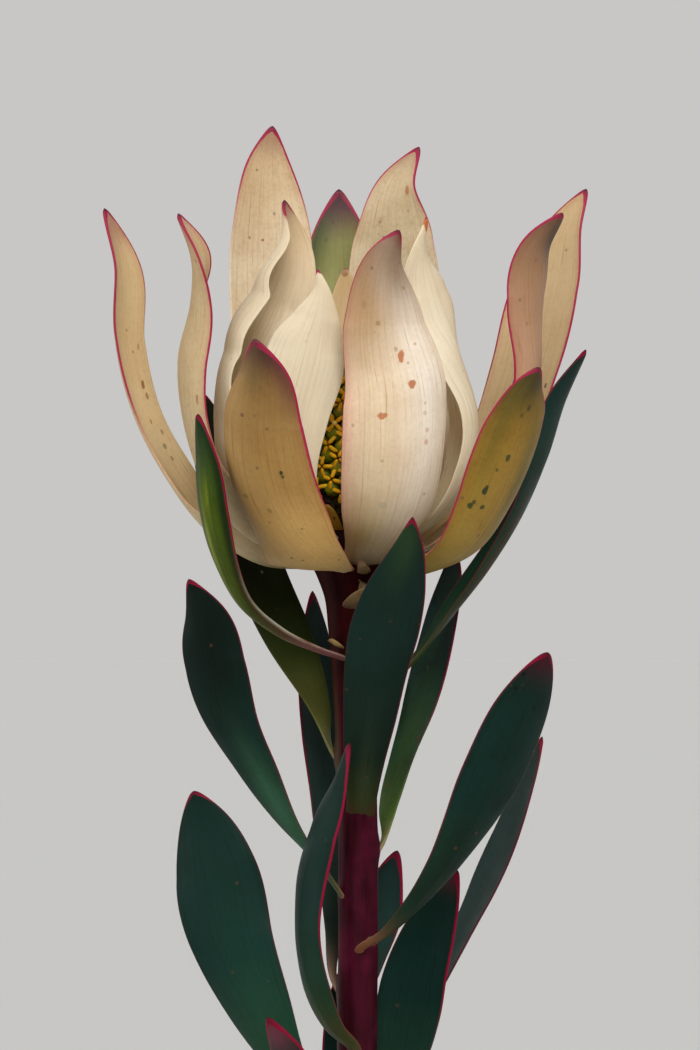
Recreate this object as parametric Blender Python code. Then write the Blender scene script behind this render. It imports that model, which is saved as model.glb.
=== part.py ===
"""A cut leucadendron stem with one open bloom, standing in a plain bud vase of water.

The origin is the centre of the vase's flat underside and +Z is up. Lengths in the
tables below are millimetres and become metres in scaled(). Each bract and leaf is set
out by hand through a few stations from its root to its tip. A station holds the place
of the blade's middle line, its half width, the compass angle that its outer face looks
towards, seen from above with 0 at +X, and its cup, the angle from its middle line to
its margin across the blade.
"""
import math
import random

import bmesh
import bpy
import numpy as np
from mathutils import Matrix, Vector

MILLIMETRE = 0.001
CLEARANCE = 0.3
WATER_CLEARANCE = 0.36

# driving dimensions of the vase, in millimetres
VASE_HEIGHT = 130.0
VASE_WALL = 3.2
VASE_FOOT_RADIUS = 27.0
VASE_BELLY_RADIUS = 33.0
VASE_BELLY_HEIGHT = 40.0
VASE_NECK_RADIUS = 9.5
VASE_NECK_HEIGHT = 112.0
VASE_LIP_RADIUS = 12.0
VASE_FLOOR = 5.0
WATER_LEVEL = 93.0
OUTER_HEIGHTS = (1.2, 14.0, 27.0, 40.0, 53.0, 65.0, 77.0, 88.0, 99.0, 111.0, 121.0, 128.4)
INNER_HEIGHTS = (11.0, 28.0, 44.0, 57.0, 69.0, 81.0, 93.0, 105.0, 118.0, 128.4)
FOOT_ROUNDING = 1.2
FLOOR_ROUNDING = 3.0
LIP_ROUNDING = 0.3
VASE_SIDES = 28

# the stem and the bloom, in millimetres
BARE_STEM = 50.0
PLANT_ZERO = VASE_HEIGHT + BARE_STEM
BLOOM_AXIS_X = -1.0
CONE_FOOT = 99.2
CONE_HEIGHT = 31.0
CONE_RADIUS = 7.8
CONE_WIDEST = 0.36
CONE_FULLNESS = 2.6
CONE_BLUNTNESS = 0.6
SLOPE_STEP = 0.01
CONE_CORE_RINGS = 6
CONE_CORE_SIDES = 9
SCALE_PITCH = 3.8
SCALE_COUNT = 66
SCALE_LOWEST = 0.06
SCALE_HIGHEST = 0.97
SCALE_ROOT = 1.6
SCALE_RISE = 1.2
SCALE_SIDES = 6
FLORET_HEIGHT = 2.3
FLORET_MIDDLE = 0.5
LIMB_LENGTH = 2.1
LIMB_THICKNESS = 0.6
LIMB_TOP_SHARE = 0.94
LIMBS = 3
GOLDEN_ANGLE = math.pi * (3.0 - math.sqrt(5.0))
SEED = 7
STEM_SIDES = 16
STEM_RINGS = 12
RECEPTACLE_RINGS = 9
RECEPTACLE_SHARE = 0.885
HOLE_RINGS = 8
HOLE_SHARE = 0.45
HOLE_SLACK = 0.45
HOLE_OVERRUN = 4.0

# blades
BLADE_STEPS = 12
BLADE_STRIPS = 4
BLADE_HALF_THICKNESS = 0.5
BLADE_RIM_HALF_THICKNESS = 0.32
TIP_HALF_WIDTH = 0.45
TIP_CLOSING_POWER = 14.0
TIP_ROUNDNESS = 0.6
TIP_CROWDING = 1.45

CREAM = (0.82, 0.66, 0.46, 1.0)
GOLD = (0.36, 0.22, 0.06, 1.0)
GREEN_CREAM = (0.24, 0.26, 0.09, 1.0)
LEAF_GREEN = (0.028, 0.085, 0.062, 1.0)
CONE_GREEN = (0.10, 0.13, 0.02, 1.0)
STEM_RED = (0.14, 0.012, 0.04, 1.0)
PAPER_TAN = (0.42, 0.31, 0.16, 1.0)
GLAZE_GREY = (0.33, 0.34, 0.33, 1.0)
WATER_CLEAR = (0.75, 0.85, 0.85, 1.0)

# each row: x, y, height over PLANT_ZERO, half width, facing, cup
BRACTS = {
    "bract_front_right": (CREAM, (
        (1.3, -8.5, 93.3, 4.0, -80, 20),
        (4.5, -16.5, 99.0, 8.0, -80, 40),
        (7.0, -21.5, 109.0, 10.6, -80, 48),
        (7.5, -23.5, 122.0, 10.9, -80, 48),
        (5.2, -24.0, 137.0, 8.4, -82, 42),
        (5.5, -23.0, 148.5, 5.2, -85, 35),
        (7.8, -21.5, 154.6, 2.8, -88, 20))),
    "bract_front_left": (GOLD, (
        (-2.5, -7.6, 91.3, 2.0, -100, 5),
        (-5.5, -15.0, 92.5, 4.2, -105, 15),
        (-11.5, -22.5, 97.5, 7.8, -112, 25),
        (-16.2, -28.0, 106.0, 9.4, -115, 32),
        (-18.0, -32.0, 117.5, 8.2, -115, 32),
        (-17.6, -35.0, 127.0, 5.8, -112, 28),
        (-18.8, -37.0, 133.8, 2.8, -110, 15))),
    "bract_front_left_inner": (CREAM, (
        (-6.0, -7.6, 97.3, 2.4, -112, 10),
        (-10.6, -13.5, 102.0, 3.6, -114, 25),
        (-12.6, -16.5, 110.5, 5.4, -112, 35),
        (-12.2, -17.5, 120.0, 7.0, -110, 35),
        (-9.5, -17.5, 132.0, 7.8, -108, 35),
        (-7.6, -17.0, 138.5, 5.0, -105, 30),
        (-6.8, -16.5, 143.5, 2.4, -105, 20),
        (-7.4, -16.0, 147.6, 1.3, -105, 10))),
    "bract_left_inner": (CREAM, (
        (-9.6, -1.0, 96.8, 2.4, 185, 10),
        (-18.0, -2.5, 100.0, 5.0, 180, 35),
        (-25.0, -3.5, 109.0, 8.0, 172, 55),
        (-26.2, -3.0, 118.0, 9.0, 165, 62),
        (-22.6, -2.0, 131.0, 9.8, 154, 66),
        (-17.2, -1.0, 142.5, 9.4, 150, 66),
        (-13.6, -1.0, 153.5, 6.8, 148, 58),
        (-13.8, -2.0, 161.4, 3.2, 150, 30))),
    "bract_left": (CREAM, (
        (-9.6, -2.9, 94.0, 2.4, 200, 10),
        (-19.0, -6.5, 97.0, 4.8, 205, 20),
        (-26.8, -8.5, 105.5, 6.4, 202, 25),
        (-31.4, -9.5, 117.5, 7.0, 201, 30),
        (-32.6, -10.0, 130.0, 7.0, 200, 35),
        (-30.8, -10.5, 141.5, 6.4, 188, 45),
        (-30.8, -11.5, 150.5, 6.0, 170, 50),
        (-33.6, -12.5, 158.2, 3.0, 168, 35))),
    "bract_far_left": (CREAM, (
        (-8.8, 1.6, 91.8, 2.2, 175, 10),
        (-18.0, 3.2, 92.6, 4.6, 162, 20),
        (-27.0, 5.0, 98.0, 6.6, 157, 28),
        (-35.0, 6.5, 108.5, 7.2, 155, 32),
        (-41.8, 7.8, 121.5, 6.9, 155, 32),
        (-45.0, 8.5, 135.5, 6.4, 156, 32),
        (-45.0, 8.5, 149.0, 5.6, 156, 32),
        (-48.4, 8.0, 160.4, 3.0, 158, 20))),
    "bract_back_left": (CREAM, (
        (-5.6, 7.8, 94.8, 2.8, 120, 10),
        (-11.0, 17.0, 99.5, 6.0, 118, 25),
        (-14.5, 23.5, 110.0, 8.2, 114, 35),
        (-16.5, 27.5, 125.0, 8.8, 112, 36),
        (-17.5, 29.5, 141.0, 9.0, 110, 36),
        (-17.5, 30.0, 157.0, 8.8, 110, 34),
        (-17.5, 30.0, 169.5, 6.2, 110, 28),
        (-16.5, 29.5, 177.8, 3.2, 110, 15))),
    "bract_back_green": (GREEN_CREAM, (
        (-1.5, 8.2, 91.8, 2.4, 93, 10),
        (-2.0, 19.0, 93.5, 5.4, 93, 20),
        (-2.5, 28.5, 101.5, 7.2, 93, 28),
        (-3.0, 33.5, 116.0, 8.2, 93, 32),
        (-3.5, 35.5, 133.0, 8.6, 93, 32),
        (-3.5, 37.0, 149.0, 8.0, 93, 30),
        (-3.5, 38.0, 159.0, 5.8, 93, 25),
        (-3.5, 38.5, 166.0, 3.2, 93, 15))),
    "bract_back_centre": (CREAM, (
        (-1.0, 9.3, 97.0, 2.2, 92, 10),
        (-0.5, 12.8, 104.0, 3.8, 90, 30),
        (-1.0, 14.5, 117.0, 5.2, 88, 38),
        (-1.5, 14.5, 131.0, 5.2, 88, 38),
        (-2.0, 14.0, 141.5, 3.8, 88, 30),
        (-2.2, 13.5, 149.2, 2.0, 88, 15))),
    "bract_back_right": (CREAM, (
        (3.7, 8.1, 94.8, 2.8, 62, 10),
        (6.5, 16.0, 99.0, 6.0, 66, 25),
        (7.5, 22.5, 109.0, 8.6, 70, 35),
        (8.0, 26.0, 124.0, 9.8, 74, 38),
        (8.0, 27.5, 140.0, 10.0, 76, 38),
        (7.6, 28.0, 155.0, 8.6, 78, 34),
        (8.2, 28.0, 166.0, 5.2, 80, 26),
        (12.2, 28.0, 173.6, 2.6, 82, 15))),
    "bract_right_folded": (CREAM, (
        (7.9, -1.9, 96.6, 2.4, -10, 10),
        (13.5, -3.8, 99.5, 5.0, 5, 35),
        (20.5, -4.5, 108.5, 7.8, 12, 55),
        (22.5, -4.5, 118.5, 8.4, 12, 58),
        (19.2, -5.5, 131.5, 8.6, 2, 56),
        (14.6, -7.0, 143.5, 8.0, -22, 48),
        (12.6, -8.0, 151.5, 5.4, -8, 48),
        (13.0, -8.0, 157.8, 2.6, 5, 30))),
    "bract_right_inner": (CREAM, (
        (8.4, 0.8, 94.2, 2.4, 10, 10),
        (16.0, 0.5, 96.5, 4.8, 12, 40),
        (24.5, -0.5, 103.0, 7.2, 12, 60),
        (31.0, -2.0, 114.5, 8.4, 8, 66),
        (34.3, -3.5, 129.0, 8.6, 2, 62),
        (34.3, -5.0, 143.0, 8.6, -18, 50),
        (35.0, -6.5, 152.0, 6.6, -35, 42),
        (38.8, -7.5, 158.6, 3.4, -45, 25))),
    "bract_right_outer": (CREAM, (
        (6.2, 4.9, 92.2, 2.2, 35, 10),
        (14.0, 10.5, 95.5, 4.6, 42, 20),
        (22.5, 15.5, 104.0, 7.0, 52, 28),
        (29.0, 19.0, 116.0, 8.2, 56, 32),
        (34.0, 21.5, 130.0, 8.8, 58, 34),
        (38.0, 22.5, 146.0, 8.4, 60, 32),
        (41.0, 22.5, 157.5, 5.6, 62, 26),
        (44.6, 22.0, 165.0, 3.0, 64, 15))),
    "bract_front_right_low": (GOLD, (
        (4.4, -5.6, 89.9, 1.8, -45, 5),
        (12.0, -12.5, 91.0, 3.4, -46, 12),
        (19.3, -18.5, 95.0, 5.8, -48, 22),
        (24.3, -22.5, 102.5, 7.6, -50, 30),
        (27.8, -26.0, 111.0, 8.0, -52, 32),
        (30.2, -28.5, 119.0, 7.0, -54, 30),
        (31.6, -30.5, 124.5, 5.2, -55, 25),
        (33.5, -31.5, 128.8, 3.4, -55, 15))),
    "bract_hidden_back_left": (CREAM, (
        (-8.2, 5.2, 97.0, 2.2, 140, 10),
        (-12.5, 9.5, 102.0, 4.6, 138, 25),
        (-15.0, 12.5, 112.0, 6.4, 136, 34),
        (-14.5, 13.5, 125.0, 6.2, 134, 34),
        (-12.0, 13.5, 136.0, 4.0, 132, 28),
        (-11.0, 13.5, 141.5, 2.0, 132, 15))),
    "bract_hidden_back_right": (CREAM, (
        (6.0, 5.8, 97.0, 2.2, 40, 10),
        (11.5, 10.5, 102.0, 5.0, 42, 25),
        (14.5, 13.5, 113.0, 7.0, 44, 34),
        (15.0, 15.0, 126.0, 6.6, 46, 34),
        (13.5, 15.5, 137.0, 4.2, 48, 28),
        (12.5, 15.5, 142.5, 2.0, 48, 15))),
}

LEAVES = {
    "leaf_01_front_left": (LEAF_GREEN, (
        (-2.6, -4.6, 74.6, 0.9, 240, 5),
        (-7.0, -8.5, 76.3, 1.3, 228, 10),
        (-14.5, -13.0, 79.8, 2.2, 216, 20),
        (-20.5, -16.0, 84.5, 3.8, 207, 25),
        (-25.0, -18.5, 93.0, 5.6, 202, 28),
        (-27.5, -20.5, 102.5, 6.4, 201, 28),
        (-28.5, -22.0, 111.5, 5.8, 201, 25),
        (-29.6, -23.0, 120.4, 3.0, 201, 15))),
    "leaf_02_back_left": (LEAF_GREEN, (
        (-4.9, 1.2, 57.0, 1.2, 170, 5),
        (-7.5, 4.4, 65.0, 3.2, 140, 10),
        (-13.2, 9.5, 77.0, 5.8, 122, 18),
        (-20.0, 14.5, 91.5, 6.6, 118, 20),
        (-25.5, 18.0, 106.0, 6.4, 118, 20),
        (-28.5, 19.5, 117.0, 5.2, 118, 18),
        (-30.0, 20.5, 125.4, 3.0, 118, 10))),
    "leaf_03_left": (LEAF_GREEN, (
        (-3.8, -3.2, 31.0, 0.9, 200, 5),
        (-7.0, -4.6, 35.5, 1.2, 215, 10),
        (-13.5, -6.5, 44.0, 2.7, 235, 15),
        (-19.2, -9.0, 53.5, 4.8, 245, 18),
        (-24.4, -11.0, 63.5, 6.3, 248, 20),
        (-27.2, -12.5, 73.5, 6.7, 248, 20),
        (-28.8, -13.0, 82.5, 5.8, 248, 18),
        (-31.6, -13.0, 89.6, 2.8, 248, 10))),
    "leaf_04_low_left": (LEAF_GREEN, (
        (-4.1, -2.4, -15.0, 0.9, 210, 5),
        (-8.5, -3.5, -9.0, 2.2, 240, 12),
        (-14.2, -4.5, -1.0, 5.0, 255, 18),
        (-19.4, -5.0, 9.0, 7.6, 260, 22),
        (-24.4, -4.5, 21.0, 8.9, 262, 22),
        (-27.4, -3.5, 34.5, 8.9, 262, 22),
        (-29.4, -2.0, 43.5, 6.6, 262, 18),
        (-31.0, -1.5, 49.3, 4.0, 262, 10))),
    "leaf_05_front": (LEAF_GREEN, (
        (0.9, -4.9, 47.0, 3.0, -88, 40),
        (1.4, -8.5, 54.0, 3.9, -86, 32),
        (2.5, -13.5, 63.0, 5.2, -85, 28),
        (3.6, -18.5, 71.5, 6.2, -84, 26),
        (5.4, -23.0, 80.0, 6.8, -82, 24),
        (7.5, -27.0, 88.0, 5.9, -80, 22),
        (9.4, -30.0, 95.0, 3.8, -80, 18),
        (10.2, -32.0, 101.2, 1.6, -80, 10))),
    "leaf_06_right": (LEAF_GREEN, (
        (4.2, 0.4, 68.0, 0.9, 0, 5),
        (11.2, -0.5, 74.5, 2.6, 10, 25),
        (18.0, -2.0, 83.0, 4.6, 13, 40),
        (24.6, -2.5, 91.5, 5.8, 13, 46),
        (30.8, -2.5, 101.5, 6.6, 4, 44),
        (35.6, -2.5, 112.5, 7.0, -14, 38),
        (38.9, -2.5, 123.5, 5.8, -22, 30),
        (43.4, -2.5, 133.0, 2.6, -24, 15))),
    "leaf_07_right_back": (LEAF_GREEN, (
        (4.9, 0.4, 39.5, 1.1, 10, 5),
        (6.2, 2.2, 46.0, 2.8, 30, 12),
        (9.0, 4.4, 55.0, 4.2, 34, 18),
        (12.6, 6.4, 65.0, 5.6, 34, 20),
        (15.6, 7.8, 75.5, 6.2, 34, 20),
        (17.4, 8.6, 84.0, 5.6, 34, 20),
        (18.4, 9.0, 90.0, 4.2, 34, 15),
        (18.8, 9.2, 95.5, 2.4, 34, 10))),
    "leaf_08_right": (LEAF_GREEN, (
        (0.5, -4.7, 19.5, 0.9, -80, 5),
        (5.0, -7.0, 22.5, 1.2, -68, 10),
        (10.0, -9.0, 27.5, 2.2, -62, 15),
        (16.0, -11.5, 35.0, 4.2, -62, 20),
        (21.0, -13.5, 43.0, 6.0, -64, 22),
        (26.0, -15.5, 53.0, 7.4, -65, 22),
        (30.8, -17.0, 64.0, 7.2, -66, 22),
        (35.6, -18.5, 76.0, 4.0, -66, 12))),
    "leaf_09_right_back": (LEAF_GREEN, (
        (0.4, 4.6, -9.0, 0.9, 80, 5),
        (3.2, 11.0, -4.5, 1.8, 60, 12),
        (9.0, 16.0, 2.0, 3.2, 42, 18),
        (14.6, 17.4, 9.5, 4.5, 32, 20),
        (20.0, 17.4, 19.0, 5.6, 28, 22),
        (25.0, 16.4, 29.0, 6.2, 28, 22),
        (29.7, 16.4, 39.5, 6.0, 28, 22),
        (33.0, 16.4, 49.5, 4.6, 28, 18),
        (35.8, 16.4, 58.9, 2.4, 28, 10))),
    "leaf_10_low_right": (LEAF_GREEN, (
        (4.2, 2.6, -17.0, 0.9, 30, 5),
        (6.0, 4.4, -11.5, 2.8, 60, 10),
        (8.2, 5.6, -3.5, 5.2, 72, 16),
        (9.8, 6.2, 5.0, 6.6, 75, 18),
        (11.6, 6.4, 13.5, 6.8, 75, 18),
        (14.2, 6.4, 21.5, 6.0, 75, 18),
        (16.8, 6.2, 28.0, 4.4, 72, 15),
        (19.2, 5.8, 33.8, 2.4, 70, 10))),
    "leaf_11_back_right": (LEAF_GREEN, (
        (1.2, 4.8, 8.0, 1.0, 75, 5),
        (2.6, 10.4, 15.5, 2.6, 78, 12),
        (4.4, 13.2, 23.0, 4.2, 80, 18),
        (5.8, 14.2, 30.0, 3.6, 80, 18),
        (7.8, 14.4, 37.0, 1.8, 80, 10))),
    "leaf_12_front_curved": (LEAF_GREEN, (
        (-0.6, -4.7, 0.8, 1.4, 255, 10),
        (-4.6, -8.5, 5.0, 2.8, 228, 18),
        (-8.2, -11.5, 12.0, 4.8, 210, 24),
        (-10.2, -13.5, 21.0, 6.0, 200, 26),
        (-9.9, -14.5, 31.5, 6.0, 198, 26),
        (-7.3, -15.0, 42.0, 5.2, 198, 25),
        (-3.8, -15.0, 51.0, 3.8, 198, 20),
        (-1.4, -14.5, 59.0, 2.2, 198, 10))),
    "leaf_13_left_back": (LEAF_GREEN, (
        (-4.2, 2.6, 12.5, 1.0, 150, 5),
        (-4.6, 6.6, 22.0, 2.0, 140, 12),
        (-4.9, 10.2, 33.5, 3.4, 135, 18),
        (-5.6, 13.0, 45.0, 5.0, 135, 20),
        (-6.8, 15.2, 57.5, 5.8, 135, 20),
        (-8.0, 17.0, 70.0, 5.4, 135, 20),
        (-8.4, 18.2, 80.0, 3.8, 135, 15),
        (-8.6, 18.8, 87.0, 2.0, 135, 10))),
    "leaf_14_low_front_left": (LEAF_GREEN, (
        (-1.8, -4.0, -36.0, 1.0, -120, 5),
        (-4.4, -8.0, -30.0, 2.4, -122, 12),
        (-7.4, -10.8, -21.0, 4.8, -122, 18),
        (-10.4, -12.6, -10.5, 5.8, -122, 20),
        (-13.2, -13.8, 0.0, 4.8, -122, 20),
        (-16.8, -14.6, 7.6, 2.4, -122, 10))),
    "leaf_15_hidden_back_high": (LEAF_GREEN, (
        (0.2, 4.8, 54.0, 1.0, 85, 5),
        (1.2, 9.0, 61.5, 3.0, 84, 12),
        (3.2, 13.0, 70.0, 5.2, 82, 18),
        (5.0, 16.0, 79.0, 5.4, 80, 20),
        (6.6, 18.0, 87.0, 4.2, 80, 18),
        (7.8, 19.0, 93.5, 2.0, 80, 10))),
    "leaf_16_hidden_back_low": (LEAF_GREEN, (
        (-1.4, 4.6, -28.0, 1.0, 105, 5),
        (-1.8, 9.0, -20.0, 2.8, 102, 12),
        (-2.2, 12.5, -10.0, 4.4, 100, 18),
        (-2.4, 14.8, 0.5, 4.4, 98, 20),
        (-2.4, 16.0, 9.0, 3.4, 98, 18),
        (-2.4, 16.5, 15.0, 1.8, 98, 10))),
}

PAPERY_BRACTS = {
    "papery_bract_front": (PAPER_TAN, (
        (2.2, -6.5, 87.8, 2.0, -75, 10),
        (1.6, -9.2, 86.6, 2.4, -85, 15),
        (-0.4, -10.6, 85.4, 2.0, -100, 10),
        (-2.8, -10.8, 84.6, 1.0, -105, 5))),
    "papery_bract_under": (PAPER_TAN, (
        (1.4, -7.9, 91.0, 1.1, -80, 5),
        (1.2, -9.8, 91.3, 1.1, -82, 10),
        (0.9, -10.8, 92.0, 0.9, -85, 10),
        (0.6, -11.2, 93.2, 0.6, -85, 5))),
    "papery_bract_back": (PAPER_TAN, (
        (0.6, 6.0, 87.0, 2.0, 75, 15),
        (1.4, 8.6, 86.6, 2.2, 75, 15),
        (2.0, 10.6, 86.2, 1.4, 75, 10),
        (2.4, 12.0, 86.8, 0.6, 75, 5))),
}

# middle line of the stem: x, y, height over PLANT_ZERO, radius
STEM_LINE = (
    (3.2, 2.4, VASE_FLOOR + CLEARANCE - PLANT_ZERO, 3.7),
    (2.2, 1.7, -120.0, 3.8),
    (0.9, 0.9, -70.0, 3.8),
    (0.2, 0.3, -30.0, 3.8),
    (0.0, 0.0, 0.0, 3.8),
    (0.2, 0.0, 40.0, 3.8),
    (-0.5, 0.0, 66.0, 4.0),
    (-0.9, 0.0, 80.0, 4.6),
    (-1.0, 0.0, 86.5, 5.3),
    (-1.0, 0.0, 90.0, 6.6),
    (-1.0, 0.0, 93.0, 8.0),
    (-1.0, 0.0, 96.0, 8.8),
    (-1.0, 0.0, 98.8, 8.0),
)
def clear_scene():
    for item in list(bpy.data.objects):
        bpy.data.objects.remove(item, do_unlink=True)


def scaled(points):
    """Plant coordinates in millimetres to world coordinates in metres."""
    placed = np.array(points, dtype=float)
    placed[:, 2] += PLANT_ZERO
    return placed * MILLIMETRE


def plain_material(name, colour, roughness):
    material = bpy.data.materials.new(name)
    material.use_nodes = True
    shader = material.node_tree.nodes["Principled BSDF"]
    shader.inputs["Base Color"].default_value = colour
    shader.inputs["Roughness"].default_value = roughness
    material.diffuse_color = colour
    return material


def finished_object(name, mesh_data, colour, roughness):
    """Faces made to look outwards, shaded smooth, with the object's own material."""
    working = bmesh.new()
    working.from_mesh(mesh_data)
    bmesh.ops.recalc_face_normals(working, faces=working.faces)
    working.to_mesh(mesh_data)
    working.free()
    mesh_data.materials.append(plain_material(name, colour, roughness))
    mesh_data.shade_smooth()
    mesh_data.set_sharp_from_angle(angle=math.radians(40.0))
    item = bpy.data.objects.new(name, mesh_data)
    bpy.context.collection.objects.link(item)
    return item


def curve_through(stations, steps):
    """A smooth cubic through the stations, read at even values of the share of its length."""
    table = np.array(stations, dtype=float)
    gaps = np.linalg.norm(np.diff(table[:, :3], axis=0), axis=1)
    knots = np.concatenate([[0.0], np.cumsum(gaps)]) / gaps.sum()
    slopes = np.gradient(table, knots, axis=0)
    piece = np.clip(np.searchsorted(knots, steps, side="right") - 1, 0, len(knots) - 2)
    span = (knots[piece + 1] - knots[piece])[:, None]
    t = ((steps - knots[piece]) / span[:, 0])[:, None]
    return ((2 * t**3 - 3 * t**2 + 1) * table[piece] + (t**3 - 2 * t**2 + t) * span * slopes[piece]
            + (3 * t**2 - 2 * t**3) * table[piece + 1] + (t**3 - t**2) * span * slopes[piece + 1])


def unit(vectors):
    return vectors / np.linalg.norm(vectors, axis=-1, keepdims=True)


def blade_frame(line, facing):
    """Outward and sideways directions along a blade.

    Outward is the facing direction tipped 45 degrees down, less its share along the
    middle line, so it is never along a line that leaves the stem outwards and upwards.
    """
    along = unit(np.gradient(line, axis=0))
    aim = np.stack([np.cos(facing), np.sin(facing), -np.ones_like(facing)], axis=1)
    outward = unit(aim - (aim * along).sum(axis=1, keepdims=True) * along)
    return outward, np.cross(along, outward)


def blade_faces(rows, columns):
    """Outer and inner faces split along the same diagonal, with rim walls and end walls."""
    def vertex(side, row, column):
        return side * rows * columns + row * columns + column
    faces = []
    for side in (0, 1):
        for row in range(rows - 1):
            for column in range(columns - 1):
                a = vertex(side, row, column)
                b = vertex(side, row, column + 1)
                c = vertex(side, row + 1, column + 1)
                d = vertex(side, row + 1, column)
                faces += [(a, b, c), (a, c, d)]
    for row in range(rows - 1):
        for column in (0, columns - 1):
            faces.append((vertex(0, row, column), vertex(0, row + 1, column),
                          vertex(1, row + 1, column), vertex(1, row, column)))
    for column in range(columns - 1):
        for row in (0, rows - 1):
            faces.append((vertex(0, row, column), vertex(0, row, column + 1),
                          vertex(1, row, column + 1), vertex(1, row, column)))
    return faces


def blade(name, colour, stations, roughness):
    """One bract or leaf: an arched strip of lens section swept along its middle line."""
    share = np.linspace(0.0, 1.0, BLADE_STEPS)
    share = 1.0 - (1.0 - share)**TIP_CROWDING
    values = curve_through(stations, share)
    line = values[:, :3]
    closing = (1.0 - share**TIP_CLOSING_POWER)**TIP_ROUNDNESS
    half_width = np.maximum(values[:, 3] * closing, TIP_HALF_WIDTH)[:, None]
    cup = np.radians(values[:, 5])[:, None]
    outward, side = blade_frame(line, np.radians(values[:, 4]))

    across = np.linspace(-1.0, 1.0, BLADE_STRIPS + 1)[None, :]
    bend = across * cup
    reach = half_width / cup
    sideways = (reach * np.sin(bend))[:, :, None]
    inward = (reach * (1.0 - np.cos(bend)))[:, :, None]
    middle = line[:, None, :] + side[:, None, :] * sideways - outward[:, None, :] * inward
    normal = outward[:, None, :] * np.cos(bend)[:, :, None] + side[:, None, :] * np.sin(bend)[:, :, None]
    half_thickness = BLADE_RIM_HALF_THICKNESS + (
        BLADE_HALF_THICKNESS - BLADE_RIM_HALF_THICKNESS) * (1.0 - across**2)[:, :, None]
    points = np.concatenate([(middle + normal * half_thickness).reshape(-1, 3),
                             (middle - normal * half_thickness).reshape(-1, 3)])
    mesh_data = bpy.data.meshes.new(name)
    mesh_data.from_pydata(scaled(points).tolist(), [], blade_faces(BLADE_STEPS, BLADE_STRIPS + 1))
    return finished_object(name, mesh_data, colour, roughness)


def rod(name, line, radii):
    """A closed round body along a near vertical line, bridged from ring to ring."""
    turns = np.linspace(0.0, math.tau, STEM_SIDES, endpoint=False)
    ring = np.stack([np.cos(turns), np.sin(turns), np.zeros_like(turns)], axis=1)
    working = bmesh.new()
    loops = []
    for centre, radius in zip(line, radii):
        corners = [working.verts.new(point) for point in scaled(centre + ring * radius)]
        loops.append([working.edges.new((corners[i - 1], corners[i])) for i in range(STEM_SIDES)])
    for below, above in zip(loops, loops[1:]):
        bmesh.ops.bridge_loops(working, edges=below + above)
    bmesh.ops.contextual_create(working, geom=loops[0])
    bmesh.ops.contextual_create(working, geom=loops[-1])
    bmesh.ops.recalc_face_normals(working, faces=working.faces)
    mesh_data = bpy.data.meshes.new(name)
    working.to_mesh(mesh_data)
    working.free()
    return mesh_data


def stem():
    """The round stem, cut square at its foot, swelling into the receptacle under the bloom."""
    share = np.concatenate([np.linspace(0.0, RECEPTACLE_SHARE, STEM_RINGS, endpoint=False),
                            np.linspace(RECEPTACLE_SHARE, 1.0, RECEPTACLE_RINGS)])
    values = curve_through(STEM_LINE, share)
    return finished_object("stem", rod("stem", values[:, :3], values[:, 3]), STEM_RED, 0.5)


def vase_radius(height):
    """Outer radius of the vase: a foot, a round belly, a slim neck and a small flare."""
    stations = ((VASE_FOOT_RADIUS, 0.0), (VASE_BELLY_RADIUS, VASE_BELLY_HEIGHT),
                (VASE_NECK_RADIUS, VASE_NECK_HEIGHT), (VASE_LIP_RADIUS, VASE_HEIGHT))
    for (low_radius, low), (high_radius, high) in zip(stations, stations[1:]):
        if height <= high:
            share = (height - low) / (high - low)
            eased = 0.5 - 0.5 * math.cos(math.pi * share)
            return low_radius + (high_radius - low_radius) * eased
    return VASE_LIP_RADIUS


def turned(name, profile, sides):
    """A closed body turned about +Z from a profile of radius and height, ends on the axis."""
    working = bmesh.new()
    corners = [working.verts.new((radius * MILLIMETRE, 0.0, height * MILLIMETRE))
               for radius, height in profile]
    edges = [working.edges.new(pair) for pair in zip(corners, corners[1:])]
    bmesh.ops.spin(working, geom=corners + edges, cent=(0, 0, 0), axis=(0, 0, 1),
                   angle=math.tau, steps=sides, use_merge=True)
    bmesh.ops.remove_doubles(working, verts=working.verts, dist=1e-6)
    mesh_data = bpy.data.meshes.new(name)
    working.to_mesh(mesh_data)
    working.free()
    return mesh_data


def vase():
    """A plain thrown bud vase with an even wall and a rounded lip."""
    foot = [(0.0, 0.0), (VASE_FOOT_RADIUS - FOOT_ROUNDING, 0.0)]
    outer = [(vase_radius(height), height) for height in OUTER_HEIGHTS]
    lip = [(VASE_LIP_RADIUS - LIP_ROUNDING * VASE_WALL, VASE_HEIGHT),
           (VASE_LIP_RADIUS - (1.0 - LIP_ROUNDING) * VASE_WALL, VASE_HEIGHT)]
    inner = [(vase_radius(height) - VASE_WALL, height) for height in reversed(INNER_HEIGHTS)]
    floor = [(VASE_FOOT_RADIUS - VASE_WALL - FLOOR_ROUNDING, VASE_FLOOR), (0.0, VASE_FLOOR)]
    profile = foot + outer + lip + inner + floor
    return finished_object("vase", turned("vase", profile, VASE_SIDES), GLAZE_GREY, 0.35)


def water():
    """The water inside, clear of the wall, with a plain hole that the stem stands in."""
    gap = VASE_WALL + WATER_CLEARANCE
    wall = [(vase_radius(height) - gap, height) for height in INNER_HEIGHTS if height <= WATER_LEVEL]
    bottom = VASE_FLOOR + CLEARANCE
    profile = [(0.0, bottom), (VASE_FOOT_RADIUS - gap - FLOOR_ROUNDING, bottom)] + wall
    profile.append((0.0, WATER_LEVEL))
    body = finished_object("water", turned("water", profile, VASE_SIDES), WATER_CLEAR, 0.05)
    cutter = stem_hole()
    cut = body.modifiers.new("stem hole", "BOOLEAN")
    cut.operation = "DIFFERENCE"
    cut.object = cutter
    return body


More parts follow.
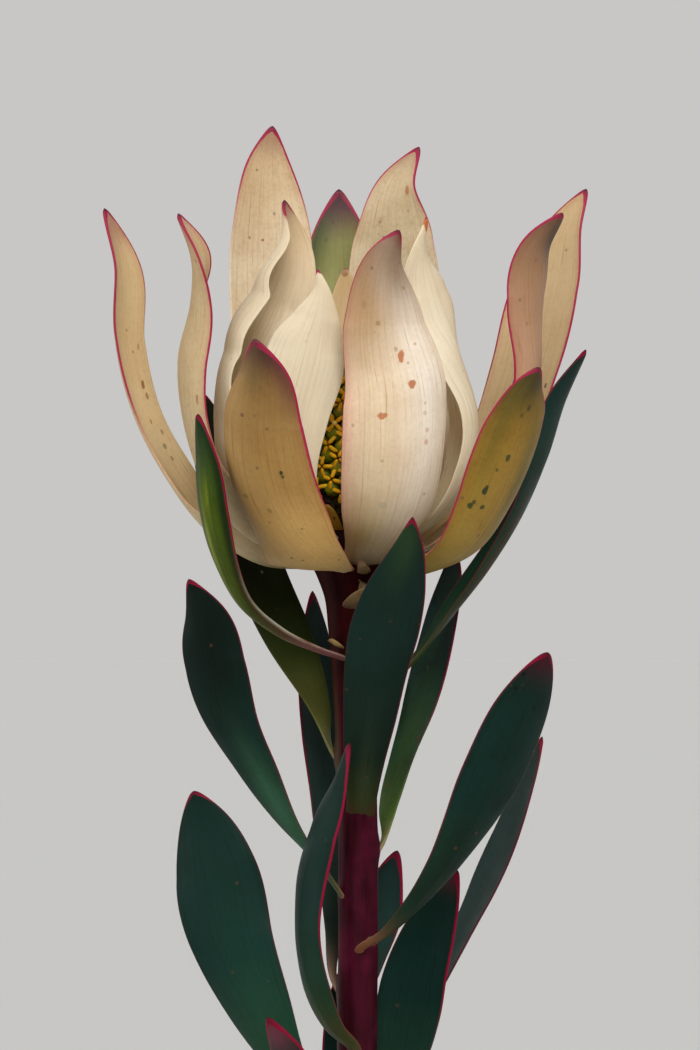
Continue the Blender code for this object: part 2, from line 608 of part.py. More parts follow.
def stem_hole():
    """A cutter round the foot of the stem, a little wider than it, from below the floor up."""
    values = curve_through(STEM_LINE, np.linspace(0.0, HOLE_SHARE, HOLE_RINGS))
    values[0, 2] -= HOLE_OVERRUN
    mesh_data = rod("stem hole cutter", values[:, :3], values[:, 3] + HOLE_SLACK)
    cutter = bpy.data.objects.new("stem_hole_cutter", mesh_data)
    cutter.hide_render = True
    cutter.display_type = "WIRE"
    bpy.context.collection.objects.link(cutter)
    return cutter


def cone_radius(share):
    """Radius of the cone's core at a share of its height: a full egg, blunt at the top."""
    away = min(abs(share - CONE_WIDEST) / (1.0 - CONE_WIDEST), 1.0)
    return CONE_RADIUS * (1.0 - away**CONE_FULLNESS)**CONE_BLUNTNESS


def cone_core():
    """The solid middle of the cone, which every scale and floret is rooted in."""
    shares = np.linspace(0.0, 1.0, CONE_CORE_RINGS)
    rings = [(cone_radius(share), CONE_FOOT + share * CONE_HEIGHT) for share in shares[:-1]]
    profile = [(0.0, CONE_FOOT)] + rings + [(0.0, CONE_FOOT + CONE_HEIGHT)]
    mesh_data = turned("cone", profile, CONE_CORE_SIDES)
    mesh_data.transform(Matrix.Translation(Vector((BLOOM_AXIS_X, 0.0, PLANT_ZERO)) * MILLIMETRE))
    return mesh_data


def cone_seats(count, shift):
    """Places on the cone in a golden-angle spiral, each with its outward and upward directions."""
    seats = []
    for index in range(count):
        share = SCALE_LOWEST + (index + shift) / count * (SCALE_HIGHEST - SCALE_LOWEST)
        angle = (index + shift) * GOLDEN_ANGLE
        radius = cone_radius(share)
        slope = (cone_radius(share + SLOPE_STEP) - radius) / (SLOPE_STEP * CONE_HEIGHT)
        radial = Vector((math.cos(angle), math.sin(angle), 0.0))
        outward = (radial - Vector((0, 0, slope))).normalized()
        place = radial * radius + Vector((BLOOM_AXIS_X, 0.0, CONE_FOOT + share * CONE_HEIGHT))
        seats.append((place, outward, radial.cross(Vector((0, 0, 1))).normalized()))
    return seats


def seat_matrix(place, outward, sideways):
    """Local X sideways, local Y up the cone and local Z outwards, at the given place."""
    upward = outward.cross(sideways)
    turn = Matrix((sideways, upward, outward)).transposed().to_4x4()
    return Matrix.Translation(place + Vector((0, 0, PLANT_ZERO))) @ turn


def lofted(name, rings, apex=None):
    """A closed body through rings of equal count, ended by flat faces or an apex point."""
    sides = len(rings[0])
    points = [point for ring in rings for point in ring]
    faces = [tuple(reversed(range(sides)))]
    for row in range(len(rings) - 1):
        for side in range(sides):
            ahead = (side + 1) % sides
            a = row * sides + side
            b = row * sides + ahead
            faces.append((a, b, b + sides, a + sides))
    last = (len(rings) - 1) * sides
    if apex is None:
        faces.append(tuple(last + side for side in range(sides)))
    else:
        points.append(apex)
        faces += [(last + side, last + (side + 1) % sides, len(points) - 1) for side in range(sides)]
    mesh_data = bpy.data.meshes.new(name)
    mesh_data.from_pydata(points, [], faces)
    return mesh_data


def cone_scale():
    """A green faceted dome whose foot is sunk in the core."""
    reach = 0.5 * SCALE_PITCH
    turns = [math.tau * side / SCALE_SIDES for side in range(SCALE_SIDES)]
    rings = []
    for radius, height in ((0.75 * reach, -SCALE_ROOT), (1.0 * reach, 0.15 * SCALE_RISE),
                           (0.55 * reach, 0.85 * SCALE_RISE)):
        rings.append([(radius * math.cos(t), radius * math.sin(t), height) for t in turns])
    return lofted("cone scale", rings, (0.0, 0.15 * reach, SCALE_RISE))


def floret():
    """A floret of three yellow limbs: a star on a short foot that is rooted in the core."""
    turns = [math.tau * corner / (2 * LIMBS) for corner in range(2 * LIMBS)]
    foot = [FLORET_MIDDLE] * (2 * LIMBS)
    star = [LIMB_LENGTH, FLORET_MIDDLE] * LIMBS
    top = [reach * LIMB_TOP_SHARE for reach in star]
    rings = []
    for reaches, height in ((foot, -SCALE_ROOT), (foot, FLORET_HEIGHT - 2.0 * LIMB_THICKNESS),
                            (star, FLORET_HEIGHT - LIMB_THICKNESS), (top, FLORET_HEIGHT)):
        rings.append([(r * math.cos(t), r * math.sin(t), height) for r, t in zip(reaches, turns)])
    return lofted("floret", rings)


def cone():
    """The egg-shaped head: green scales in spirals with a star of yellow limbs between them."""
    body = finished_object("cone", cone_core(), CONE_GREEN, 0.6)
    scale_mesh = cone_scale()
    floret_mesh = floret()
    repeats = bpy.data.collections.new("scales and florets")
    metres = Matrix.Scale(MILLIMETRE, 4)
    chance = random.Random(SEED)
    placed = [(scale_mesh, seat, 0.0) for seat in cone_seats(SCALE_COUNT, 0.0)]
    placed += [(floret_mesh, seat, chance.uniform(0.0, math.tau)) for seat in cone_seats(SCALE_COUNT, 0.5)]
    for number, (mesh_data, seat, turn) in enumerate(placed):
        piece = bpy.data.objects.new("repeat_%d" % number, mesh_data)
        piece.matrix_world = metres @ seat_matrix(*seat) @ Matrix.Rotation(turn, 4, "Z")
        repeats.objects.link(piece)
    bpy.context.scene.collection.children.link(repeats)
    join = body.modifiers.new("scales and florets", "BOOLEAN")
    join.operation = "UNION"
    join.operand_type = "COLLECTION"
    join.collection = repeats
    join.solver = "MANIFOLD"
    bpy.context.view_layer.update()
    evaluated = body.evaluated_get(bpy.context.evaluated_depsgraph_get())
    fused = bpy.data.meshes.new_from_object(evaluated)
    body.modifiers.clear()
    body.data = fused
    for piece in list(repeats.objects):
        bpy.data.objects.remove(piece, do_unlink=True)
    bpy.data.collections.remove(repeats)
    return body


clear_scene()
vase()
stem()
water()
cone()
for group, roughness in ((BRACTS, 0.5), (PAPERY_BRACTS, 0.8), (LEAVES, 0.42)):
    for blade_name, (blade_colour, blade_stations) in group.items():
        blade(blade_name, blade_colour, blade_stations, roughness)
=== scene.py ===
import math

import bpy
import numpy as np
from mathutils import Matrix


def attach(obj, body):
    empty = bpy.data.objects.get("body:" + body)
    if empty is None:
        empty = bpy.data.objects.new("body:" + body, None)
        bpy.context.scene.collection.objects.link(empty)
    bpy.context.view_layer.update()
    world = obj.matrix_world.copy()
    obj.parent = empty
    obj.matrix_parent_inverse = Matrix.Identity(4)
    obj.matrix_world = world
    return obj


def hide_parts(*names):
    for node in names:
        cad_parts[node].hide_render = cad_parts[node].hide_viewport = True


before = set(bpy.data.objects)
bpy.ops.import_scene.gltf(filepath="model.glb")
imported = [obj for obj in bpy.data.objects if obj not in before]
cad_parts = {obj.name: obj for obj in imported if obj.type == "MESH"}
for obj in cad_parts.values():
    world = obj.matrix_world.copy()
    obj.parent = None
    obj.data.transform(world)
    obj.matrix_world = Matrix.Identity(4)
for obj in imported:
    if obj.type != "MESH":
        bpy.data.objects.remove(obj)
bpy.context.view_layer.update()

# The vase: a plain bud vase of stoneware, thrown on a wheel and dipped in a soft grey glaze.
# Its wall is a profile turned about the upright axis: flat foot, round belly, slim neck and
# a rounded lip, and the glaze stops a little above the foot.
MILLIMETRE = 0.001
VASE_HEIGHT = 130.0
VASE_WALL = 3.2
VASE_FLOOR = 5.0
VASE_STATIONS = ((0.0, 27.0), (40.0, 33.0), (112.0, 9.5), (130.0, 12.0))
FOOT_BEVEL = 1.2
LIP_RISE = 1.55
VASE_TURNS = 96
STONEWARE_BODY = "#b9a68c"
GREY_GLAZE = "#a9aba8"
GLAZE_THIN = "#8d8377"
IRON_SPECK = "#4c4038"
GLAZE_CLOUD_MM = 28.0
SPECK_GAP_MM = 3.2
THROWING_RING_MM = 4.5
# heights over which the glaze runs thin towards the lip, and over which it ends above the foot
THIN_AT_LIP = (126.5, 129.8)
BARE_AT_FOOT = (2.2, 3.4)


def hex_colour(code):
    """sRGB hex to linear: c / 12.92 up to 0.04045, above it ((c + 0.055) / 1.055) to the power 2.4."""
    channels = np.array([int(code[place:place + 2], 16) for place in (1, 3, 5)]) / 255.0
    linear = np.where(channels <= 0.04045, channels / 12.92, ((channels + 0.055) / 1.055)**2.4)
    return (*linear.tolist(), 1.0)


def new_material(name, sockets):
    """A Principled material with the given numbers set on the shader's own sockets."""
    material = bpy.data.materials.new(name)
    material.use_nodes = True
    shader = material.node_tree.nodes["Principled BSDF"]
    for socket, value in sockets.items():
        shader.inputs[socket].default_value = value
    return material, material.node_tree, shader


def add_node(tree, kind, inputs=None, output=None, **settings):
    """Adds a shader node and returns its output of the given name, or else its first one in use.

    Settings are the node's own. Inputs give each socket, by its name or number, another node's
    output, which is linked to it, or a value, where a hex colour is turned linear.
    """
    node = tree.nodes.new("ShaderNode" + kind)
    for setting, value in settings.items():
        setattr(node, setting, value)
    for socket, value in (inputs or {}).items():
        if isinstance(value, bpy.types.NodeSocket):
            tree.links.new(value, node.inputs[socket])
        else:
            node.inputs[socket].default_value = hex_colour(value) if isinstance(value, str) else value
    return node.outputs[output] if output else next(one for one in node.outputs if one.enabled)


def mesh_from_grid(name, points, layers=None, ring=False):
    """A closed mesh from a grid of points, rows by columns, whose columns close on themselves.

    A ring closes its rows on themselves too; otherwise a pole point, the mean of the end row,
    closes each end. Leading axes hold many like grids, joined into one mesh. Layers are values
    per point, one number or one colour, kept as attributes. Faces look outwards: they are turned
    over if the volume, the sum over the triangles a, b, c of a . (b - a) x (c - a), is below zero.
    """
    rows, columns = points.shape[-3:-1]
    grids = points.reshape(-1, rows, columns, 3)
    index = np.arange(grids.size // 3).reshape(grids.shape[:3])
    below = index if ring else index[:, :-1]
    above = np.roll(index, -1, axis=1) if ring else index[:, 1:]
    quads = np.stack([below, np.roll(below, -1, axis=2), np.roll(above, -1, axis=2), above], axis=-1)
    quads = quads.reshape(-1, 4)
    vertices = grids.reshape(-1, 3)
    fans = np.zeros((0, 3), dtype=int)
    if not ring:
        first, last = index[:, 0], index[:, -1]
        pole = np.repeat(index.size + np.arange(len(grids))[:, None], columns, axis=1)
        foot = np.stack([np.roll(first, -1, axis=1), first, pole], axis=-1)
        tip = np.stack([last, np.roll(last, -1, axis=1), pole + len(grids)], axis=-1)
        fans = np.concatenate([foot.reshape(-1, 3), tip.reshape(-1, 3)])
        vertices = np.concatenate([vertices, grids[:, 0].mean(1), grids[:, -1].mean(1)])
    corners = vertices[quads] - vertices.mean(0)
    a, b, c, d = corners.transpose(1, 0, 2)
    volume = (np.cross(b - a, c - a) * a).sum() + (np.cross(c - a, d - a) * a).sum()
    if volume < 0:
        quads, fans = quads[:, ::-1], fans[:, ::-1]
    mesh = bpy.data.meshes.new(name)
    mesh.vertices.add(len(vertices))
    mesh.vertices.foreach_set("co", vertices.astype(np.float32).ravel())
    mesh.loops.add(quads.size + fans.size)
    mesh.loops.foreach_set("vertex_index", np.concatenate([quads.ravel(), fans.ravel()]).astype(np.int32))
    starts = np.concatenate([np.arange(len(quads)) * 4, quads.size + np.arange(len(fans)) * 3])
    mesh.polygons.add(len(starts))
    mesh.polygons.foreach_set("loop_start", starts.astype(np.int32))
    mesh.update(calc_edges=True)
    mesh.validate()
    mesh.shade_smooth()
    for layer, values in (layers or {}).items():
        values = np.asarray(values, dtype=np.float32).reshape(len(grids), rows, columns, -1)
        flat = values.reshape(index.size, -1)
        if not ring:
            flat = np.concatenate([flat, values[:, 0].mean(1), values[:, -1].mean(1)])
        kind, field = ("FLOAT", "value") if flat.shape[1] == 1 else ("FLOAT_COLOR", "color")
        mesh.attributes.new(layer, kind, "POINT").data.foreach_set(field, flat.ravel())
    return mesh


def fixed_piece(name, mesh, material, slot, *nodes):
    """An object at the origin that rides with the vase and stands for the named solids."""
    mesh.materials.append(material)
    piece = bpy.data.objects.new(name, mesh)
    bpy.context.scene.collection.objects.link(piece)
    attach(piece, "root")
    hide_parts(*nodes)


def vase_radius(height):
    """Outer radius at a height: between stations it goes over by half a cosine wave."""
    heights, radii = np.array(VASE_STATIONS).T
    piece = np.clip(np.searchsorted(heights, height, side="left") - 1, 0, len(heights) - 2)
    share = np.clip((height - heights[piece]) / (heights[piece + 1] - heights[piece]), 0.0, 1.0)
    return radii[piece] + (radii[piece + 1] - radii[piece]) * (0.5 - 0.5 * np.cos(np.pi * share))


def round_angles(count):
    """Angles once round, evenly spaced."""
    return np.linspace(0.0, math.tau, count, endpoint=False)


def circles(x, y, radius, height, count):
    """Circles one above the other: x + radius cos a, y + radius sin a and height, a going once round."""
    angle = round_angles(count)
    grid = np.broadcast_arrays(x + radius * np.cos(angle), y + radius * np.sin(angle), height)
    return np.stack(grid, axis=-1)


def vase_profile():
    """Radius and height from the underside over the foot, belly, neck and lip, and down inside.

    The foot's edge is a quarter circle of FOOT_BEVEL. The lip is half an ellipse, half the wall
    wide and LIP_RISE tall, and the inside is the outer radius less the wall.
    """
    foot = [(1.0, 0.0), (12.0, 0.0), (vase_radius(0.0) - FOOT_BEVEL - 0.4, 0.0)]
    bevel = np.linspace(0.0, 0.5 * np.pi, 6)
    corner = [(vase_radius(0.0) - FOOT_BEVEL * (1.0 - np.sin(a)), FOOT_BEVEL * (1.0 - np.cos(a)))
              for a in bevel]
    outside = [(vase_radius(z), z) for z in np.linspace(2.0, VASE_HEIGHT - 1.7, 90)]
    middle = vase_radius(VASE_HEIGHT) - 0.5 * VASE_WALL
    lip = [(middle + 0.5 * VASE_WALL * np.cos(a), VASE_HEIGHT - LIP_RISE + LIP_RISE * np.sin(a))
           for a in np.linspace(0.0, np.pi, 14)]
    inside = [(vase_radius(z) - VASE_WALL, z)
              for z in np.linspace(VASE_HEIGHT - 1.9, VASE_FLOOR + 4.0, 60)]
    floor = [(vase_radius(VASE_FLOOR) - VASE_WALL - 4.0, VASE_FLOOR), (8.0, VASE_FLOOR), (1.0, VASE_FLOOR)]
    return np.array(foot + corner + outside + lip + inside + floor)


def stoneware_glaze():
    """Glazed stoneware, thrown: glossy soft grey, thin and brown on the lip, with iron specks."""
    material, tree, shader = new_material("glazed stoneware", {"Roughness": 0.34, "Coat Weight": 0.35,
                                                              "Coat Roughness": 0.12})
    place = add_node(tree, "TexCoord", output="Object")
    clouds = add_node(tree, "TexNoise", {"Vector": place, "Scale": 1.0 / (GLAZE_CLOUD_MM * MILLIMETRE),
                                         "Detail": 4.0})
    dots = add_node(tree, "TexVoronoi", {"Vector": place, "Scale": 1.0 / (SPECK_GAP_MM * MILLIMETRE)})
    dot = add_node(tree, "MapRange", {"Value": dots, "From Min": 0.06, "From Max": 0.13, "To Min": 1.0,
                                      "To Max": 0.0})
    lot = add_node(tree, "SeparateColor", {"Color": dots.node.outputs["Color"]})
    pick = add_node(tree, "MapRange", {"Value": lot, "From Min": 0.62, "From Max": 0.7})
    speck = add_node(tree, "Math", {0: dot, 1: pick}, operation="MULTIPLY")
    height = add_node(tree, "SeparateXYZ", {"Vector": place}, output="Z")
    lip = add_node(tree, "MapRange", {"Value": height, "From Min": THIN_AT_LIP[0] * MILLIMETRE,
                                      "From Max": THIN_AT_LIP[1] * MILLIMETRE})
    bare = add_node(tree, "MapRange", {"Value": height, "From Min": BARE_AT_FOOT[0] * MILLIMETRE,
                                       "From Max": BARE_AT_FOOT[1] * MILLIMETRE, "To Min": 1.0,
                                       "To Max": 0.0})
    drift = add_node(tree, "MapRange", {"Value": clouds, "From Min": 0.5, "From Max": 0.85})
    colour = add_node(tree, "Mix", {0: drift, 6: GREY_GLAZE, 7: GLAZE_THIN}, data_type="RGBA")
    for code, share in ((GLAZE_THIN, lip), (IRON_SPECK, speck), (STONEWARE_BODY, bare)):
        colour = add_node(tree, "Mix", {0: share, 6: colour, 7: code}, data_type="RGBA")
    tree.links.new(colour, shader.inputs["Base Color"])
    rings = add_node(tree, "TexWave", {"Vector": place, "Distortion": 1.2, "Detail": 1.0,
                                       "Scale": 0.31 / (THROWING_RING_MM * MILLIMETRE)},
                     output="Fac", bands_direction="Z")
    bump = add_node(tree, "Bump", {"Height": rings, "Strength": 0.25, "Distance": 0.15 * MILLIMETRE})
    tree.links.new(bump, shader.inputs["Normal"])
    return material


radii, heights = np.hsplit(vase_profile(), 2)
vase_points = circles(0.0, 0.0, radii, heights, VASE_TURNS) * MILLIMETRE
vase_mesh = mesh_from_grid("vase_thrown", vase_points)
fixed_piece("vase_thrown", vase_mesh, stoneware_glaze(), "vase", "vase")

# The water: tap water that fills the vase to below its neck. It wets the glaze and the stem,
# so its surface turns up a little at both, and the stem stands in a plain hole through it.
WATER_LEVEL = 93.0
CLEARANCE = 0.3
WATER_GAP = 0.36
STEM_GAP = 0.45
MENISCUS_MM = 0.9
MENISCUS_REACH = 1.2
RIPPLE_MM = 9.0
WATER_TINTS = ("#f2f8f6", "#e6f0ea")
PLANT_ZERO = 180.0
# middle line of the stem: x, y, height over PLANT_ZERO, radius
STEM_LINE = (
    (3.2, 2.4, VASE_FLOOR + CLEARANCE - PLANT_ZERO, 3.7), (2.2, 1.7, -120.0, 3.8), (0.9, 0.9, -70.0, 3.8),
    (0.2, 0.3, -30.0, 3.8), (0.0, 0.0, 0.0, 3.8), (0.2, 0.0, 40.0, 3.8), (-0.5, 0.0, 66.0, 4.0),
    (-0.9, 0.0, 80.0, 4.6), (-1.0, 0.0, 86.5, 5.3), (-1.0, 0.0, 90.0, 6.6), (-1.0, 0.0, 93.0, 8.0),
    (-1.0, 0.0, 96.0, 8.8), (-1.0, 0.0, 98.8, 8.0))


def curve_through(stations, steps):
    """A cubic through the stations with the mean slope at each, read at shares of its length."""
    table = np.array(stations, dtype=float)
    gaps = np.linalg.norm(np.diff(table[:, :3], axis=0), axis=1)
    knots = np.concatenate([[0.0], np.cumsum(gaps)]) / gaps.sum()
    slopes = np.gradient(table, knots, axis=0)
    piece = np.clip(np.searchsorted(knots, steps, side="right") - 1, 0, len(knots) - 2)
    span = (knots[piece + 1] - knots[piece])[:, None]
    t = ((steps - knots[piece]) / span[:, 0])[:, None]
    return ((2 * t**3 - 3 * t**2 + 1) * table[piece] + (t**3 - 2 * t**2 + t) * span * slopes[piece]
            + (3 * t**2 - 2 * t**3) * table[piece + 1] + (t**3 - t**2) * span * slopes[piece + 1])


stem_curve = curve_through(STEM_LINE, np.linspace(0.0, 1.0, 600))


def stem_at(height):
    """Centre x, centre y and radius of the stem at heights over PLANT_ZERO."""
    return [np.interp(height, stem_curve[:, 2], stem_curve[:, column]) for column in (0, 1, 3)]


def water_body():
    """A ring: round the floor, up the wall, in over the surface and down round the stem.

    A point is the stem's centre plus the hole's radius, gone over by a share to the vase's axis
    plus the wall's radius; the surface rises by MENISCUS_MM times exp(-distance / MENISCUS_REACH).
    """
    bottom = VASE_FLOOR + CLEARANCE
    heights = np.linspace(bottom + 3.0, WATER_LEVEL, 24)
    sweep = np.linspace(0.0, 1.0, 16)
    share = np.concatenate([np.linspace(0.0, 0.9, 5), np.ones(24), 1.0 - sweep[1:-1], np.zeros(24)])
    height = np.concatenate([np.full(5, bottom), heights, np.full(14, WATER_LEVEL), heights[::-1]])
    x, y, stem_radius = [row[:, None] for row in stem_at(height - PLANT_ZERO)]
    wall = vase_radius(height)[:, None] - VASE_WALL - WATER_GAP
    share = share[:, None]
    radius = (1.0 - share) * (stem_radius + STEM_GAP) + share * wall
    gap = wall - stem_radius - STEM_GAP
    edge = np.exp(-share * gap / MENISCUS_REACH) + np.exp(-(1.0 - share) * gap / MENISCUS_REACH)
    surface = np.isclose(height, WATER_LEVEL)[:, None]
    rise = np.where(surface, MENISCUS_MM * edge, 0.0)
    return circles((1.0 - share) * x, (1.0 - share) * y, radius, height[:, None] + rise, 72) * MILLIMETRE


def still_water():
    """Clear water: the refraction of water, IOR 1.333, with the least ripple on it."""
    material, tree, shader = new_material("still water", {"Roughness": 0.02, "IOR": 1.333,
                                                          "Transmission Weight": 1.0})
    place = add_node(tree, "TexCoord", output="Object")
    ripple = add_node(tree, "TexNoise", {"Vector": place, "Scale": 1.0 / (RIPPLE_MM * MILLIMETRE)})
    tint = add_node(tree, "Mix", {0: ripple, 6: WATER_TINTS[0], 7: WATER_TINTS[1]}, data_type="RGBA")
    bump = add_node(tree, "Bump", {"Height": ripple, "Strength": 0.1, "Distance": 0.1 * MILLIMETRE})
    tree.links.new(tint, shader.inputs["Base Color"])
    tree.links.new(bump, shader.inputs["Normal"])
    return material


water_mesh = mesh_from_grid("water_filling", water_body(), ring=True)
fixed_piece("water_filling", water_mesh, still_water(), "water", "water")

# The leaves: stiff, leathery, a bluish green, each on a short petiole that clasps the stem. They grow
# in a spiral, and a thin crimson margin runs round each into a small red horny tip. Stations give
# x, y, height over PLANT_ZERO, half width, the compass angle the outer face looks to, and cup.
LEAVES = {
    "leaf_01_front_left": (
        (-2.6, -4.6, 74.6, 0.9, 240, 5), (-7.0, -8.5, 76.3, 1.3, 228, 10),
        (-14.5, -13.0, 79.8, 2.2, 216, 20), (-20.5, -16.0, 84.5, 3.8, 207, 25),
        (-25.0, -18.5, 93.0, 5.6, 202, 28), (-27.5, -20.5, 102.5, 6.4, 201, 28),
        (-28.5, -22.0, 111.5, 5.8, 201, 25), (-29.6, -23.0, 120.4, 3.0, 201, 15)),
    "leaf_02_back_left": (
        (-4.9, 1.2, 57.0, 1.2, 170, 5), (-7.5, 4.4, 65.0, 3.2, 140, 10), (-13.2, 9.5, 77.0, 5.8, 122, 18),
        (-20.0, 14.5, 91.5, 6.6, 118, 20), (-25.5, 18.0, 106.0, 6.4, 118, 20),
        (-28.5, 19.5, 117.0, 5.2, 118, 18), (-30.0, 20.5, 125.4, 3.0, 118, 10)),
    "leaf_03_left": (
        (-3.8, -3.2, 31.0, 0.9, 200, 5), (-7.0, -4.6, 35.5, 1.2, 215, 10),
        (-13.5, -6.5, 44.0, 2.7, 235, 15), (-19.2, -9.0, 53.5, 4.8, 245, 18),
        (-24.4, -11.0, 63.5, 6.3, 248, 20), (-27.2, -12.5, 73.5, 6.7, 248, 20),
        (-28.8, -13.0, 82.5, 5.8, 248, 18), (-31.6, -13.0, 89.6, 2.8, 248, 10)),
    "leaf_04_low_left": (
        (-4.1, -2.4, -15.0, 0.9, 210, 5), (-8.5, -3.5, -9.0, 2.2, 240, 12),
        (-14.2, -4.5, -1.0, 5.0, 255, 18), (-19.4, -5.0, 9.0, 7.6, 260, 22),
        (-24.4, -4.5, 21.0, 8.9, 262, 22), (-27.4, -3.5, 34.5, 8.9, 262, 22),
        (-29.4, -2.0, 43.5, 6.6, 262, 18), (-31.0, -1.5, 49.3, 4.0, 262, 10)),
    "leaf_05_front": (
        (0.9, -4.9, 47.0, 3.0, -88, 40), (1.4, -8.5, 54.0, 3.9, -86, 32),
        (2.5, -13.5, 63.0, 5.2, -85, 28), (3.6, -18.5, 71.5, 6.2, -84, 26),
        (5.4, -23.0, 80.0, 6.8, -82, 24), (7.5, -27.0, 88.0, 5.9, -80, 22),
        (9.4, -30.0, 95.0, 3.8, -80, 18), (10.2, -32.0, 101.2, 1.6, -80, 10)),
    "leaf_06_right": (
        (4.2, 0.4, 68.0, 0.9, 0, 5), (11.2, -0.5, 74.5, 2.6, 10, 25), (18.0, -2.0, 83.0, 4.6, 13, 40),
        (24.6, -2.5, 91.5, 5.8, 13, 46), (30.8, -2.5, 101.5, 6.6, 4, 44),
        (35.6, -2.5, 112.5, 7.0, -14, 38), (38.9, -2.5, 123.5, 5.8, -22, 30),
        (43.4, -2.5, 133.0, 2.6, -24, 15)),
    "leaf_07_right_back": (
        (4.9, 0.4, 39.5, 1.1, 10, 5), (6.2, 2.2, 46.0, 2.8, 30, 12), (9.0, 4.4, 55.0, 4.2, 34, 18),
        (12.6, 6.4, 65.0, 5.6, 34, 20), (15.6, 7.8, 75.5, 6.2, 34, 20), (17.4, 8.6, 84.0, 5.6, 34, 20),
        (18.4, 9.0, 90.0, 4.2, 34, 15), (18.8, 9.2, 95.5, 2.4, 34, 10)),
    "leaf_08_right": (
        (0.5, -4.7, 19.5, 0.9, -80, 5), (5.0, -7.0, 22.5, 1.2, -68, 10), (10.0, -9.0, 27.5, 2.2, -62, 15),
        (16.0, -11.5, 35.0, 4.2, -62, 20), (21.0, -13.5, 43.0, 6.0, -64, 22),
        (26.0, -15.5, 53.0, 7.4, -65, 22), (30.8, -17.0, 64.0, 7.2, -66, 22),
        (35.6, -18.5, 76.0, 4.0, -66, 12)),
    "leaf_09_right_back": (
        (0.4, 4.6, -9.0, 0.9, 80, 5), (3.2, 11.0, -4.5, 1.8, 60, 12), (9.0, 16.0, 2.0, 3.2, 42, 18),
        (14.6, 17.4, 9.5, 4.5, 32, 20), (20.0, 17.4, 19.0, 5.6, 28, 22), (25.0, 16.4, 29.0, 6.2, 28, 22),
        (29.7, 16.4, 39.5, 6.0, 28, 22), (33.0, 16.4, 49.5, 4.6, 28, 18),
        (35.8, 16.4, 58.9, 2.4, 28, 10)),
    "leaf_10_low_right": (
        (4.2, 2.6, -17.0, 0.9, 30, 5), (6.0, 4.4, -11.5, 2.8, 60, 10), (8.2, 5.6, -3.5, 5.2, 72, 16),
        (9.8, 6.2, 5.0, 6.6, 75, 18), (11.6, 6.4, 13.5, 6.8, 75, 18), (14.2, 6.4, 21.5, 6.0, 75, 18),
        (16.8, 6.2, 28.0, 4.4, 72, 15), (19.2, 5.8, 33.8, 2.4, 70, 10)),
    "leaf_11_back_right": (
        (1.2, 4.8, 8.0, 1.0, 75, 5), (2.6, 10.4, 15.5, 2.6, 78, 12), (4.4, 13.2, 23.0, 4.2, 80, 18),
        (5.8, 14.2, 30.0, 3.6, 80, 18), (7.8, 14.4, 37.0, 1.8, 80, 10)),
    "leaf_12_front_curved": (
        (-0.6, -4.7, 0.8, 1.4, 255, 10), (-4.6, -8.5, 5.0, 2.8, 228, 18),
        (-8.2, -11.5, 12.0, 4.8, 210, 24), (-10.2, -13.5, 21.0, 6.0, 200, 26),
        (-9.9, -14.5, 31.5, 6.0, 198, 26), (-7.3, -15.0, 42.0, 5.2, 198, 25),
        (-3.8, -15.0, 51.0, 3.8, 198, 20), (-1.4, -14.5, 59.0, 2.2, 198, 10)),
    "leaf_13_left_back": (
        (-4.2, 2.6, 12.5, 1.0, 150, 5), (-4.6, 6.6, 22.0, 2.0, 140, 12), (-4.9, 10.2, 33.5, 3.4, 135, 18),
        (-5.6, 13.0, 45.0, 5.0, 135, 20), (-6.8, 15.2, 57.5, 5.8, 135, 20),
        (-8.0, 17.0, 70.0, 5.4, 135, 20), (-8.4, 18.2, 80.0, 3.8, 135, 15),
        (-8.6, 18.8, 87.0, 2.0, 135, 10)),
    "leaf_14_low_front_left": (
        (-1.8, -4.0, -36.0, 1.0, -120, 5), (-4.4, -8.0, -30.0, 2.4, -122, 12),
        (-7.4, -10.8, -21.0, 4.8, -122, 18), (-10.4, -12.6, -10.5, 5.8, -122, 20),
        (-13.2, -13.8, 0.0, 4.8, -122, 20), (-16.8, -14.6, 7.6, 2.4, -122, 10)),
    "leaf_15_hidden_back_high": (
        (0.2, 4.8, 54.0, 1.0, 85, 5), (1.2, 9.0, 61.5, 3.0, 84, 12), (3.2, 13.0, 70.0, 5.2, 82, 18),
        (5.0, 16.0, 79.0, 5.4, 80, 20), (6.6, 18.0, 87.0, 4.2, 80, 18), (7.8, 19.0, 93.5, 2.0, 80, 10)),
    "leaf_16_hidden_back_low": (
        (-1.4, 4.6, -28.0, 1.0, 105, 5), (-1.8, 9.0, -20.0, 2.8, 102, 12),
        (-2.2, 12.5, -10.0, 4.4, 100, 18), (-2.4, 14.8, 0.5, 4.4, 98, 20), (-2.4, 16.0, 9.0, 3.4, 98, 18),
        (-2.4, 16.5, 15.0, 1.8, 98, 10)),
}
LEAF_HALF_THICKNESS = 0.42
LEAF_WAVE = 0.22
LEAF_VEINS_ACROSS = 5.0
# how far a leaf's middle line bows to the side, in mm
LEAF_BOW = {"leaf_01_front_left": -1.6}
LEAF_CRIMSON = "#7c0c2c"
LEAF_DARK_TIP = "#3a0c18"
ROOT_DEPTH = 0.8
ROOT_DROP = 3.0
BLADE_ROWS = 110
BLADE_COLUMNS = 26
TIP_CROWDING = 1.45
TIP_CLOSING_POWER = 14.0
TIP_ROUNDNESS = 0.6
FACE_FULLNESS = 0.35
MIDRIB_RISE = 0.14
MIDRIB_HALF_WIDTH = 0.5
WIDENING_REACH = 0.11
TWIST_START = 0.74
TWIST_LENGTH = 0.24
# the photograph's middle pixel, a pixel's width at the stem, and where the camera stands
PHOTO_MIDDLE = (350, 525)
PIXEL_MM = 0.19
CAMERA_DISTANCE = 1000.0
CAMERA_X = -1.33
CAMERA_HEIGHT = 279.75
FLECK_REACH = 0.6
